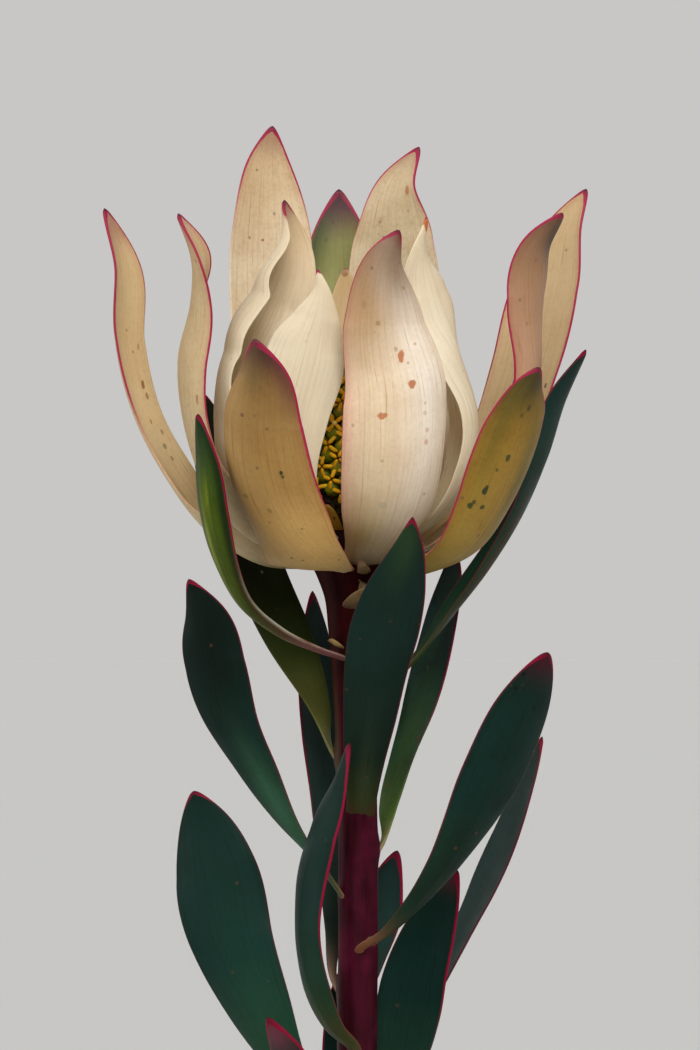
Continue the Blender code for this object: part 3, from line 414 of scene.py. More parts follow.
# sizes of the patterns of living tissue
MOTTLE_MM = 7.0
PORE_MM = 0.8
SPECK_SPACING_MM = 5.5
RAGGED_MM = 0.9
GRAIN_MM = 0.6
FLUSH_MM = 1.7
# what age, veins, pores, specks and the flush turn the tissue towards
AGED_TAN = "#d9c19a"
VEIN_TAN = "#b08c5c"
PORE_GREY = "#b8ab90"
SPECK_BROWN = "#5a4024"
FLUSH_PINK = "#d98f96"
# colours along a blade, each from a share of its length on
BLUE_GREEN = ((0.0, "#9c7a60"), (0.05, "#62603c"), (0.2, "#284a32"), (0.55, "#112f29"), (1.0, "#0e2620"))
BRIGHT_GREEN = (
    (0.0, "#a8727c"), (0.16, "#86604c"), (0.24, "#5c5420"), (0.38, "#4e5a04"), (0.7, "#445804"),
    (1.0, "#1c3c10"))
# olive green, darkening upwards: the dark upper part is painted shade under the bloom
OLIVE_GREEN = ((0.0, "#88825a"), (0.12, "#606230"), (0.3, "#303a14"), (0.55, "#1a210c"), (1.0, "#121c10"))
PALE_FOOT = (
    (0.0, "#d0ae90"), (0.05, "#a0946a"), (0.13, "#64803f"), (0.3, "#2f5034"), (0.65, "#173730"),
    (1.0, "#132c27"))
GREY_GREEN = ((0.0, "#6e5f50"), (0.15, "#2e3e34"), (0.5, "#1f3833"), (1.0, "#1b302c"))
CLASPING = ((0.0, "#4e3620"), (0.08, "#2e3616"), (0.2, "#15271c"), (0.6, "#142b25"), (1.0, "#12251f"))
# outer and inner colours, width of the crimson on the left and right margin, length of the red tip,
# share of the length where the crimson starts, one or a pair for the left and the right margin, and
# age, which brings mottling and specks
LEAF_DRESS = {
    "leaf_01_front_left": (BRIGHT_GREEN, OLIVE_GREEN, 0.0, 0.27, 2.8, (0.05, 0.36), 1.0),
    "leaf_02_back_left": (OLIVE_GREEN, OLIVE_GREEN, 0.1, 0.1, 3.0, 0.3, 0.5),
    "leaf_03_left": (BLUE_GREEN, BLUE_GREEN, 0.2, 0.17, 3.4, 0.1, 0.6),
    "leaf_04_low_left": (BLUE_GREEN, BLUE_GREEN, 0.15, 0.15, 4.0, 0.2, 0.4),
    "leaf_05_front": (CLASPING, BLUE_GREEN, 0.08, 0.3, 2.8, 0.0, 0.4),
    "leaf_06_right": (PALE_FOOT, BLUE_GREEN, 0.13, 0.22, 3.0, 0.1, 0.5),
    "leaf_07_right_back": (PALE_FOOT, PALE_FOOT, 0.22, 0.18, 4.0, 0.3, 0.8),
    "leaf_08_right": (BLUE_GREEN, BLUE_GREEN, 0.18, 0.15, 5.5, 0.15, 0.7),
    "leaf_09_right_back": (GREY_GREEN, GREY_GREEN, 0.15, 0.15, 4.0, 0.1, 0.4),
    "leaf_10_low_right": (BLUE_GREEN, BLUE_GREEN, 0.4, 0.18, 5.0, 0.4, 0.4),
    "leaf_11_back_right": (GREY_GREEN, GREY_GREEN, 0.4, 0.22, 6.0, 0.4, 0.4),
    "leaf_12_front_curved": (BLUE_GREEN, BLUE_GREEN, 0.14, 0.42, 6.0, 0.3, 0.4),
    "leaf_13_left_back": (GREY_GREEN, GREY_GREEN, 0.18, 0.22, 5.0, 0.3, 0.4),
    "leaf_14_low_front_left": (BLUE_GREEN, BLUE_GREEN, 0.50, 0.50, 6.0, 0.4, 0.4),
    "leaf_15_hidden_back_high": (BLUE_GREEN, BLUE_GREEN, 0.25, 0.25, 4.0, 0.2, 0.4),
    "leaf_16_hidden_back_low": (BLUE_GREEN, BLUE_GREEN, 0.25, 0.25, 4.0, 0.2, 0.4),
}
# soft patches: share of the length, place across, length and width in mm, colour, strength, and the
# face, 1 for the outer, -1 for the inner and 0 for both
LEAF_PATCHES = {
    "leaf_01_front_left": (
        (0.62, 0.85, 34.0, 1.3, "#0c2408", 0.95, 1), (0.97, 0.0, 7.0, 4.0, "#173410", 0.85, 1),
        (0.6, -0.1, 9.0, 0.8, "#93a024", 0.7, 1), (0.45, -0.5, 9.0, 0.9, "#7c8a1c", 0.6, 1),
        (0.84, -0.7, 9.0, 1.0, "#1c3a10", 0.8, 1), (0.55, -0.95, 16.0, 0.6, "#2c4a12", 0.7, 1),
        (0.7, -0.35, 5.0, 0.4, "#1c3a10", 0.75, 1), (0.52, 0.1, 7.0, 0.35, "#24441a", 0.75, 1),
        (0.42, -0.15, 6.0, 0.3, "#2c4a12", 0.7, 1), (0.75, 0.2, 4.0, 0.6, "#7c8c18", 0.7, 1),
        (0.58, 0.4, 8.0, 0.35, "#1c3a10", 0.7, 1), (0.35, 0.35, 6.0, 0.3, "#1c3410", 0.75, 1),
        (0.22, 0.8, 17.0, 0.3, "#642820", 0.8, 1), (0.26, 1.0, 15.0, 0.35, "#a9b098", 0.9, 0),
        (0.1, 0.2, 9.0, 2.5, "#9a5c62", 0.6, 0)),
    "leaf_03_left": (
        # the near-black patch over the top of leaf_03 is painted shade under the bloom
        (0.3, 0.15, 18.0, 2.4, "#3f6a50", 0.6, 1), (0.82, 0.1, 20.0, 9.0, "#060e08", 0.85, 1)),
    "leaf_04_low_left": ((0.4, 0.2, 20.0, 5.0, "#1c4a34", 0.25, 1),),
    "leaf_05_front": (
        (0.1, 0.0, 12.0, 1.4, "#3f4c34", 0.4, 1), (0.93, -0.2, 9.0, 2.4, "#2f4a26", 0.5, 1)),
    "leaf_06_right": (
        (0.3, 0.0, 26.0, 6.0, "#24260e", 0.8, 1), (0.42, -0.6, 18.0, 1.2, "#4a2c20", 0.6, 1)),
    "leaf_07_right_back": ((0.3, 0.0, 20.0, 4.0, "#3f5a2c", 0.6, -1),),
    "leaf_08_right": (
        # the dark patch over the lower part of leaf_08 is painted shade
        (0.99, 0.0, 4.0, 8.0, "#4a1022", 0.75, 1), (0.28, 0.0, 24.0, 6.0, "#10241c", 0.8, 1),
        (0.0, 0.0, 7.0, 4.0, "#9c6044", 0.9, 0)),
    "leaf_10_low_right": (
        (0.99, 0.0, 3.0, 5.0, "#6a2436", 0.7, 0), (0.3, 0.0, 24.0, 9.0, "#0a1c18", 0.6, 0)),
    "leaf_13_left_back": ((0.0, 0.0, 7.0, 4.0, "#b08a74", 0.9, 0),),
    "leaf_12_front_curved": (
        (0.6, 0.0, 34.0, 9.0, "#0c241e", 0.6, 0), (0.1, 0.0, 8.0, 5.0, "#454a22", 0.7, 0)),
    "leaf_14_low_front_left": ((0.96, 0.0, 5.0, 5.0, "#7a3a4c", 0.7, 0),),
}
# blemishes read off the photograph: pixels across and down, radius in mm, stretch, colour, strength
LEAF_FLECKS = {
    "leaf_02_back_left": ((262, 572, 0.35, 1.2, "#8f7a4a", 0.6),),
    "leaf_07_right_back": (
        (417, 738, 0.6, 1.2, "#5a3a20", 0.8), (405, 770, 0.5, 1.0, "#5a3a20", 0.7),
        (388, 785, 0.45, 1.0, "#6a4626", 0.6)),
    "leaf_08_right": (
        (524, 674, 0.45, 1.0, "#0c1412", 0.9), (516, 688, 0.4, 1.0, "#0c1412", 0.85),
        (534, 708, 0.4, 1.0, "#0c1412", 0.85), (510, 699, 0.35, 1.0, "#1a2018", 0.6),
        (523, 685, 0.35, 1.0, "#2c2c28", 0.5)),
}


def unit(vectors):
    """Each vector divided by its length."""
    return vectors / np.linalg.norm(vectors, axis=-1, keepdims=True)


def smooth(values):
    """0 below 0, 1 above 1 and 3 v^2 - 2 v^3 between."""
    values = np.clip(values, 0.0, 1.0)
    return values * values * (3.0 - 2.0 * values)


def fleck_places(flecks, points, towards):
    """Flecks as x, y and z in metres, each on the face that the camera sees at its pixel.

    A pixel spans PIXEL_MM at the stem and more farther off. Each point of the seen face counts
    as exp(-(distance from the fleck as the camera sees it / FLECK_REACH)^2) in the mean place.
    """
    seen = points[towards > 0.05] / MILLIMETRE
    spread = PIXEL_MM * (1.0 + seen[:, 1] / CAMERA_DISTANCE)
    places = []
    for across, down, *rest in flecks:
        x = CAMERA_X + (across - PHOTO_MIDDLE[0]) * spread
        z = CAMERA_HEIGHT - (down - PHOTO_MIDDLE[1]) * spread
        far = np.hypot(seen[:, 0] - x, seen[:, 2] - z)
        weight = np.exp(-(np.maximum(far - far.min(), 0.0) / FLECK_REACH)**2)
        place = np.stack([x, seen[:, 1], z], axis=1)
        places.append((*((place * weight[:, None]).sum(0) / weight.sum() * MILLIMETRE).tolist(), *rest))
    return places


def colours_along(share, stops):
    """Linear colours at shares of a blade's length, gone over evenly from stop to stop."""
    places, codes = zip(*stops)
    table = np.array([hex_colour(code) for code in codes])
    return np.stack([np.interp(share, places, table[:, channel]) for channel in range(4)], axis=-1)


def blade_grid(stations, seat, half_thickness, wave, serial, curl=0.0, wider=0.0, widest=0.2,
               bow=0.0, extra_cup=0.0, twist=0.0):
    """A blade: a thin lens carried along its middle line. Returns its points, layers and shape.

    A loop angle a gives across = cos a, from margin to margin and back. With cup the bend at the
    margin and reach = half width / cup, the middle surface is the line plus side times
    reach sin(across cup) less outward times reach (1 - cos(across cup)) plus a small wave at the
    margins. The faces lie half_thickness times |sin a|^FACE_FULLNESS to each side of it, thinner
    outwards, with a low midrib on the outer face. The root is carried on to the seat, inside the
    stem. Curl bends the right margin further, by curl times across squared. Wider spreads the left
    half, or below zero the right half, by exp(-((share - widest) / WIDENING_REACH)^2), and the same
    weight adds extra_cup degrees to the right half's cup. Bow moves the middle line sideways by bow
    times sin(pi share). Twist turns the faces by up to twist degrees, smoothly from TWIST_START on.
    """
    root = np.array(stations[0], dtype=float)
    away = root[:2] - seat[:2]
    inwards = np.linalg.norm(away) - seat[2]
    slope = (stations[1][2] - stations[0][2]) / np.hypot(*np.subtract(stations[1][:2], stations[0][:2]))
    root[:2] -= away / np.linalg.norm(away) * inwards
    root[2] -= min(inwards * slope, ROOT_DROP)
    share = 1.0 - (1.0 - np.linspace(0.0, 1.0, BLADE_ROWS))**TIP_CROWDING
    values = curve_through([root, *stations], share)
    line = values[:, :3]
    length = np.linalg.norm(np.diff(line, axis=0), axis=1).sum()
    closing = (1.0 - share**TIP_CLOSING_POWER)**TIP_ROUNDNESS
    half_width = np.maximum(values[:, 3] * closing, 0.08)[:, None]
    cup = np.radians(values[:, 5])[:, None]
    facing = np.radians(values[:, 4] + twist * smooth((share - TWIST_START) / TWIST_LENGTH))
    along = unit(np.gradient(line, axis=0))
    aim = np.stack([np.cos(facing), np.sin(facing), -np.ones_like(facing)], axis=1)
    outward = unit(aim - (aim * along).sum(axis=1, keepdims=True) * along)[:, None, :]
    side = np.cross(along, outward[:, 0])[:, None, :]
    line = line + side[:, 0] * (bow * np.sin(np.pi * share))[:, None]

    angle = round_angles(2 * BLADE_COLUMNS)[None, :]
    across, face = np.cos(angle), np.sin(angle)
    share = share[:, None]
    near_place = np.exp(-((share - widest) / WIDENING_REACH)**2)
    cup = cup + np.radians(extra_cup) * near_place * (across > 0.0)
    bend = across * cup * (1.0 + curl * np.maximum(across, 0.0)**2)
    reach = half_width / cup * (1.0 + abs(wider) * near_place * np.maximum(-np.sign(wider) * across, 0.0))
    ripple = wave * across**2 * np.sin(math.tau * (2.3 * share + 0.19 * np.sign(across) + 0.37 * serial))
    ripple = ripple * np.sin(np.pi * share)
    middle = (line[:, None, :] + side * (reach * np.sin(bend))[..., None]
              + outward * (ripple - reach * (1.0 - np.cos(bend)))[..., None])
    normal = outward * np.cos(bend)[..., None] + side * np.sin(bend)[..., None]
    slim = half_thickness * np.minimum(1.0, half_width / 0.9) * (0.66 + 0.34 * (1.0 - across**2))
    rise = np.sign(face) * np.abs(face)**FACE_FULLNESS * slim
    midrib = MIDRIB_RISE * np.exp(-(across * half_width / MIDRIB_HALF_WIDTH)**2)
    midrib = midrib * np.clip(1.0 - share, 0.0, 1.0)**0.5 * np.minimum(1.0, half_width / 2.0)
    points = middle + normal * (rise + np.where(face > 0.0, midrib, 0.0))[..., None]
    points[..., 2] += PLANT_ZERO
    layers = {"margin_mm": (1.0 - np.abs(across)) * half_width + 0.0 * share,
              "across": across + 0.0 * share, "along_mm": share * length + 200.0 * serial + 0.0 * across}
    shape = {"share": share + 0.0 * across, "across": across + 0.0 * share, "face": face + 0.0 * share,
             "half_width": half_width + 0.0 * across, "length": length,
             "towards": -normal[..., 1] * np.sign(face + 1e-9)}
    return points * MILLIMETRE, layers, shape


def dressed_layers(shape, dress, patches):
    """Colour, crimson width, tip and age at each point, from a blade's dress and its soft patches.

    Crimson is 0.4 (1 - start) of the margin's own width up to the start, goes over to all of it
    within 0.35 of the length, and adds 1.3 mm times tip squared, tip being 0 at tip_length from
    the blade's end and 1 there. Start may be a pair, for the left and the right margin.
    A patch's weight is strength times exp(-(distance along / length)^2 - (distance across / width)^2).
    """
    outer, inner, left, right, tip_length, start, age = dress
    share, across = shape["share"], shape["across"]
    start = np.where(across < 0.0, *np.broadcast_to(start, 2))
    is_outer = np.clip(0.5 + 3.0 * shape["face"], 0.0, 1.0)[..., None]
    tissue = colours_along(share, outer) * is_outer + colours_along(share, inner) * (1.0 - is_outer)
    for place, middle, long, wide, code, strength, side in patches:
        near = ((share - place) * shape["length"] / long)**2
        near += ((across - middle) * shape["half_width"] / wide)**2
        weight = strength * np.exp(-near)[..., None]
        if side:
            weight = weight * (is_outer if side > 0 else 1.0 - is_outer)
        tissue = tissue * (1.0 - weight) + np.array(hex_colour(code)) * weight
    tip = np.clip(1.0 - (1.0 - share) * shape["length"] / tip_length, 0.0, 1.0)
    own = np.where(across < 0.0, left, right)
    least = 0.4 * (1.0 - start)
    rim = own * (least + (1.0 - least) * smooth((share - start) / 0.35)) + 1.3 * tip**2
    return {"tissue": tissue, "rim_mm": rim, "tip": tip, "age": np.full_like(share, age)}


def long_veins(tree, layer, veins):
    """Veins along a blade: how dark they are at a point, and the streaks that raise them.

    Soft streaks are noise drawn out along the blade. Thin lines lie where |sin(pi w)| is below
    0.17, with w = veins times across plus 2.4 times a slow noise; a second noise breaks them,
    and age deepens them.
    """
    lengthwise = add_node(tree, "Math", {0: layer["along_mm"], 1: 0.045}, operation="MULTIPLY")
    abreast = add_node(tree, "Math", {0: layer["across"], 1: veins}, operation="MULTIPLY")
    spaced = add_node(tree, "Math", {0: abreast, 1: 2.5}, operation="MULTIPLY")
    stretched = add_node(tree, "CombineXYZ", {"X": spaced, "Y": lengthwise})
    streaks = add_node(tree, "TexNoise", {"Vector": stretched, "Scale": 1.0, "Detail": 3.0,
                                          "Roughness": 0.55})
    soft = add_node(tree, "MapRange", {"Value": streaks, "From Min": 0.35, "From Max": 0.6, "To Min": 0.13,
                                       "To Max": 0.0})
    slow = add_node(tree, "TexNoise", {"Vector": stretched, "Scale": 0.35, "Detail": 2.0})
    wander = add_node(tree, "Math", {0: slow, 1: 2.4, 2: abreast}, operation="MULTIPLY_ADD")
    phase = add_node(tree, "Math", {0: wander, 1: math.pi}, operation="MULTIPLY")
    wave = add_node(tree, "Math", {0: phase}, operation="SINE")
    off = add_node(tree, "Math", {0: wave}, operation="ABSOLUTE")
    thin = add_node(tree, "MapRange", {"Value": off, "From Max": 0.17, "To Min": 1.0, "To Max": 0.0})
    run = add_node(tree, "Math", {0: lengthwise, 1: 3.0}, operation="MULTIPLY")
    cells = add_node(tree, "CombineXYZ", {"X": spaced, "Y": run})
    gaps = add_node(tree, "TexNoise", {"Vector": cells, "Scale": 1.0, "Detail": 2.0})
    holding = add_node(tree, "MapRange", {"Value": gaps, "From Min": 0.36, "From Max": 0.66})
    depth = add_node(tree, "MapRange", {"Value": layer["age"], "To Min": 0.4, "To Max": 0.95})
    drawn = add_node(tree, "Math", {0: thin, 1: depth}, operation="MULTIPLY")
    broken = add_node(tree, "Math", {0: drawn, 1: holding}, operation="MULTIPLY")
    return add_node(tree, "Math", {0: soft, 1: broken}, operation="ADD"), streaks


def blemished(tree, place, ragged, colour, flecks):
    """Each fleck: an ellipsoid with a ragged edge, where distance over radius plus noise is under 1.6."""
    for x, y, z, radius, stretch, code, strength in flecks:
        shift = add_node(tree, "VectorMath", {0: place, 1: (x, y, z)}, operation="SUBTRACT")
        scale = 1.0 / (radius * MILLIMETRE)
        sized = add_node(tree, "VectorMath", {0: shift, 1: (scale, scale, scale / stretch)},
                         operation="MULTIPLY")
        far = add_node(tree, "VectorMath", {0: sized}, operation="LENGTH")
        uneven = add_node(tree, "Math", {0: ragged, 1: 1.0, 2: far}, operation="MULTIPLY_ADD")
        inside = add_node(tree, "MapRange", {"Value": uneven, "From Min": 1.25, "From Max": 1.6,
                                             "To Min": strength, "To Max": 0.0})
        colour = add_node(tree, "Mix", {0: inside, 6: colour, 7: code}, data_type="RGBA")
    return colour


def crimson_margin(tree, layer, ragged, colour, crimson, dark_tip):
    """Crimson nearer the margin than rim_mm times an uneven 0.7 to 1.3, with a pink flush inwards."""
    uneven = add_node(tree, "MapRange", {"Value": ragged, "To Min": 0.7, "To Max": 1.3})
    depth = add_node(tree, "Math", {0: layer["rim_mm"], 1: uneven}, operation="MULTIPLY")
    inwards = add_node(tree, "Math", {0: layer["margin_mm"], 1: depth}, operation="SUBTRACT")
    has_rim = add_node(tree, "MapRange", {"Value": layer["rim_mm"], "From Min": 0.03, "From Max": 0.26})
    flush = add_node(tree, "MapRange", {"Value": inwards, "From Max": FLUSH_MM, "To Min": 0.3,
                                        "To Max": 0.0})
    flushed = add_node(tree, "Math", {0: flush, 1: has_rim}, operation="MULTIPLY")
    pink = add_node(tree, "Mix", {0: flushed, 6: colour, 7: FLUSH_PINK},
                    data_type="RGBA", blend_type="MULTIPLY")
    tipward = add_node(tree, "Math", {0: layer["tip"], 1: 5.0}, operation="POWER")
    red = add_node(tree, "Mix", {0: tipward, 6: crimson, 7: dark_tip}, data_type="RGBA")
    edge = add_node(tree, "MapRange", {"Value": inwards, "From Min": -0.12, "From Max": 0.13, "To Min": 1.0,
                                       "To Max": 0.0}, interpolation_type="SMOOTHSTEP")
    painted = add_node(tree, "Math", {0: edge, 1: has_rim}, operation="MULTIPLY")
    return add_node(tree, "Mix", {0: painted, 6: pink, 7: red}, data_type="RGBA")


def living_blade(name, veins, crimson, dark_tip, flecks, sockets):
    """The skin of a living blade: its own colours, long veins, mottling, specks and a crimson margin.

    The margin's edge is a quarter of a millimetre soft, and its flush reaches FLUSH_MM inwards.
    Flecks are round or long blemishes at given places: x, y, z in metres, radius in mm, stretch
    upwards, colour, strength.
    """
    material, tree, shader = new_material(name, sockets)
    place = add_node(tree, "TexCoord", output="Object")
    layer = {key: add_node(tree, "Attribute", output="Fac", attribute_name=key)
             for key in ("margin_mm", "rim_mm", "across", "along_mm", "tip", "age")}
    tissue = add_node(tree, "Attribute", output="Color", attribute_name="tissue")
    mottle = add_node(tree, "TexNoise", {"Vector": place, "Scale": 1.0 / (MOTTLE_MM * MILLIMETRE),
                                         "Detail": 4.0, "Roughness": 0.6})
    patchy = add_node(tree, "MapRange", {"Value": mottle, "From Min": 0.45, "From Max": 0.75,
                                         "To Max": 0.55})
    aged = add_node(tree, "Math", {0: patchy, 1: layer["age"]}, operation="MULTIPLY")
    worn = add_node(tree, "Mix", {0: aged, 6: tissue, 7: AGED_TAN}, data_type="RGBA", blend_type="MULTIPLY")
    groove, streaks = long_veins(tree, layer, veins)
    veined = add_node(tree, "Mix", {0: groove, 6: worn, 7: VEIN_TAN},
                      data_type="RGBA", blend_type="MULTIPLY")
    pores = add_node(tree, "TexNoise", {"Vector": place, "Scale": 1.0 / (PORE_MM * MILLIMETRE),
                                        "Detail": 3.0, "Roughness": 0.7})
    pitted = add_node(tree, "MapRange", {"Value": pores, "From Min": 0.48, "From Max": 0.7, "To Max": 0.34})
    pitting = add_node(tree, "Math", {0: pitted, 1: layer["age"]}, operation="MULTIPLY")
    pored = add_node(tree, "Mix", {0: pitting, 6: veined, 7: PORE_GREY},
                     data_type="RGBA", blend_type="MULTIPLY")
    dots = add_node(tree, "TexVoronoi", {"Vector": place, "Scale": 1.0 / (SPECK_SPACING_MM * MILLIMETRE)})
    dot = add_node(tree, "MapRange", {"Value": dots, "From Min": 0.045, "From Max": 0.085, "To Min": 0.75,
                                      "To Max": 0.0})
    speck = add_node(tree, "Math", {0: dot, 1: layer["age"]}, operation="MULTIPLY")
    specked = add_node(tree, "Mix", {0: speck, 6: pored, 7: SPECK_BROWN}, data_type="RGBA")
    ragged = add_node(tree, "TexNoise", {"Vector": place, "Scale": 1.0 / (RAGGED_MM * MILLIMETRE),
                                         "Detail": 2.0})
    colour = blemished(tree, place, ragged, specked, flecks)
    finished = crimson_margin(tree, layer, ragged, colour, crimson, dark_tip)
    tree.links.new(finished, shader.inputs["Base Color"])

    grain = add_node(tree, "TexNoise", {"Vector": place, "Scale": 1.0 / (GRAIN_MM * MILLIMETRE),
                                        "Detail": 2.0})
    ridges = add_node(tree, "Bump", {"Height": streaks, "Strength": 0.35, "Distance": 0.12 * MILLIMETRE})
    bump = add_node(tree, "Bump", {"Height": grain, "Normal": ridges, "Strength": 0.12,
                                   "Distance": 0.1 * MILLIMETRE})
    tree.links.new(bump, shader.inputs["Normal"])
    rough = sockets["Roughness"]
    gloss = add_node(tree, "MapRange", {"Value": mottle, "From Min": 0.3, "From Max": 0.7,
                                        "To Min": rough - 0.07, "To Max": rough + 0.09})
    tree.links.new(gloss, shader.inputs["Roughness"])
    return material


leaf_meshes, leaf_flecks = {}, []
for serial, (name, stations) in enumerate(LEAVES.items()):
    stem_x, stem_y, stem_radius = stem_at(stations[0][2])
    seat = np.array([stem_x, stem_y, stem_radius - ROOT_DEPTH])
    points, layers, shape = blade_grid(stations, seat, LEAF_HALF_THICKNESS, LEAF_WAVE, serial,
                                      bow=LEAF_BOW.get(name, 0.0))
    layers.update(dressed_layers(shape, LEAF_DRESS[name], LEAF_PATCHES.get(name, ())))
    leaf_flecks += fleck_places(LEAF_FLECKS.get(name, ()), points, shape["towards"])
    leaf_meshes[name] = mesh_from_grid(name + "_blade", points, layers)
leaf_skin = living_blade("waxy leaf skin", LEAF_VEINS_ACROSS, LEAF_CRIMSON, LEAF_DARK_TIP, leaf_flecks,
                         {"Roughness": 0.47, "Specular IOR Level": 0.08})
for name, leaf_mesh in leaf_meshes.items():
    fixed_piece(name + "_blade", leaf_mesh, leaf_skin, "leaf", name)

# The stem: a woody shoot, crimson where it meets the light and olive tan in a strip down one side,
# with fine ribs, a low cushion under each petiole, a pale scar, and the swollen receptacle on top.
# A small cream bud sits in the axil of the highest leaf.
STEM_ROWS = 520
STEM_TURNS = 72
RIB_RISE = 0.06
RIBS = 7.0
RIB_TWIST_MM = 9.0
CUSHION_RISE = 0.55
SCAR_PLACE = (4.2, -3.0, 21.0)
SCAR_SIZE = (2.2, 3.0, 0.7)
STRIP_FADES_AT = 36.0
TAN_SIDE = math.radians(190.0)
AXIL_BUD = (
    (-2.7, -4.1, 76.5, 0.3, 250.0, 30.0), (-4.0, -3.6, 77.3, 0.62, 245.0, 30.0),
    (-4.9, -2.9, 77.8, 0.5, 240.0, 30.0), (-5.6, -2.3, 77.8, 0.1, 240.0, 30.0))
BUD_SEAT = np.array([-1.3, 0.0, 4.2])
BUD_HALF_THICKNESS = 0.6
# cream, darker at the root, in the axil, and at the tip: painted shade on the bud
BUD_CREAM = ((0.0, "#5c4428"), (0.4, "#9c8456"), (0.8, "#8c7048"), (1.0, "#6c4434"))
BUD_DRESS = (BUD_CREAM, BUD_CREAM, 0.0, 0.0, 0.3, 1.0, 0.6)
STEM_CRIMSON = "#400a1c"
STEM_DARK = "#28060c"
STEM_ROSY = "#641434"
STEM_TAN = "#4f3d28"
SCAR_CREAM = "#c9b48c"
# multiplied over the stem from 46 mm up: painted shade under the leaves and the bloom, in a dark red
SHADED_TOP_TINT = "#a84838"
BARK_STREAK_MM = 1.4
BARK_CLOUD_MM = 11.0


def stem_grid():
    """Circles carried up the stem's line, their radius raised by ribs and by a cushion at each root.

    Ribs add RIB_RISE times sin(RIBS angle + height / RIB_TWIST_MM) above the vase; a cushion adds
    its rise times exp(-(turn from the root / 0.5)^2 - ((height - root + 1.2 mm) / 2.4 mm)^2).
    The tan strip is cos(angle - TAN_SIDE) from 0.7 to 0.95, fainter below STRIP_FADES_AT, the scar
    an ellipsoid of SCAR_SIZE about its place, and painted shade, under the leaves and bloom, the top
    from 46 to 76 mm.
    """
    values = curve_through(STEM_LINE, np.linspace(0.0, 1.0, STEM_ROWS))
    height = values[:, 2:3]
    angle = round_angles(STEM_TURNS)
    above_vase = smooth((height - 2.0 - VASE_HEIGHT + PLANT_ZERO) / 6.0)
    radius = values[:, 3:4] + RIB_RISE * np.sin(RIBS * angle + height / RIB_TWIST_MM) * above_vase
    for rows in LEAVES.values():
        x, y, root = rows[0][:3]
        apart = np.angle(np.exp(1j * (angle - math.atan2(y, x))))
        radius = radius + CUSHION_RISE * np.exp(-(apart / 0.5)**2 - ((height - root + 1.2) / 2.4)**2)
    points = circles(values[:, 0:1], values[:, 1:2], radius, height + PLANT_ZERO, STEM_TURNS)
    strip = smooth((np.cos(angle - TAN_SIDE) - 0.7) / 0.25)
    strip = strip * (0.3 + 0.7 * smooth((height - STRIP_FADES_AT) / 16.0))
    from_scar = (points - np.array(SCAR_PLACE) - (0.0, 0.0, PLANT_ZERO)) / SCAR_SIZE
    scar = smooth((1.25 - np.linalg.norm(from_scar, axis=-1)) / 0.5)
    receptacle = smooth((height - 46.0) / 30.0) + 0.0 * angle
    return points * MILLIMETRE, {"tan_strip": strip, "scar": scar, "receptacle": receptacle}


def shoot_bark():
    """Young bark: satin crimson gone dark in patches, streaked along, over olive tan on one side."""
    material, tree, shader = new_material("young crimson bark",
                                          {"Roughness": 0.5, "Specular IOR Level": 0.06})
    place = add_node(tree, "TexCoord", output="Object")
    layer = {key: add_node(tree, "Attribute", output="Fac", attribute_name=key)
             for key in ("tan_strip", "scar", "receptacle")}
    drawn = add_node(tree, "Mapping", {"Vector": place, "Scale": (1.0, 1.0, 0.12)})
    streak = add_node(tree, "TexNoise", {"Vector": drawn, "Scale": 1.0 / (BARK_STREAK_MM * MILLIMETRE),
                                         "Detail": 4.0})
    cloud = add_node(tree, "TexNoise", {"Vector": place, "Scale": 1.0 / (BARK_CLOUD_MM * MILLIMETRE),
                                        "Detail": 3.0})
    dark = add_node(tree, "MapRange", {"Value": streak, "From Min": 0.38, "From Max": 0.68})
    bark = add_node(tree, "Mix", {0: dark, 6: STEM_CRIMSON, 7: STEM_DARK}, data_type="RGBA")
    light = add_node(tree, "MapRange", {"Value": cloud, "From Min": 0.5, "From Max": 0.75, "To Max": 0.7})
    rosy = add_node(tree, "Mix", {0: light, 6: bark, 7: STEM_ROSY}, data_type="RGBA")
    uneven = add_node(tree, "Math", {0: streak, 1: 0.9, 2: -0.45}, operation="MULTIPLY_ADD")
    strip = add_node(tree, "Math", {0: layer["tan_strip"], 1: uneven}, operation="ADD", use_clamp=True)
    shown = add_node(tree, "Math", {0: strip, 1: layer["tan_strip"]}, operation="MULTIPLY")
    sided = add_node(tree, "Mix", {0: shown, 6: rosy, 7: STEM_TAN}, data_type="RGBA")
    scarred = add_node(tree, "Mix", {0: layer["scar"], 6: sided, 7: SCAR_CREAM}, data_type="RGBA")
    # painted shade: the upper stem multiplied by a dark red
    shaded_top = add_node(tree, "Mix", {0: layer["receptacle"], 6: scarred, 7: SHADED_TOP_TINT},
                     data_type="RGBA", blend_type="MULTIPLY")
    tree.links.new(shaded_top, shader.inputs["Base Color"])
    bump = add_node(tree, "Bump", {"Height": streak, "Strength": 0.5, "Distance": 0.2 * MILLIMETRE})
    tree.links.new(bump, shader.inputs["Normal"])
    return material


stem_points, stem_layers = stem_grid()
stem_mesh = mesh_from_grid("stem_bark", stem_points, stem_layers)
fixed_piece("stem_bark", stem_mesh, shoot_bark(), "stem", "stem")
bud_points, bud_layers, bud_shape = blade_grid(AXIL_BUD, BUD_SEAT, BUD_HALF_THICKNESS, 0.0, 60)
bud_layers.update(dressed_layers(bud_shape, BUD_DRESS, ()))
fixed_piece("axil_bud", mesh_from_grid("axil_bud", bud_points, bud_layers), leaf_skin, "stem", "stem")

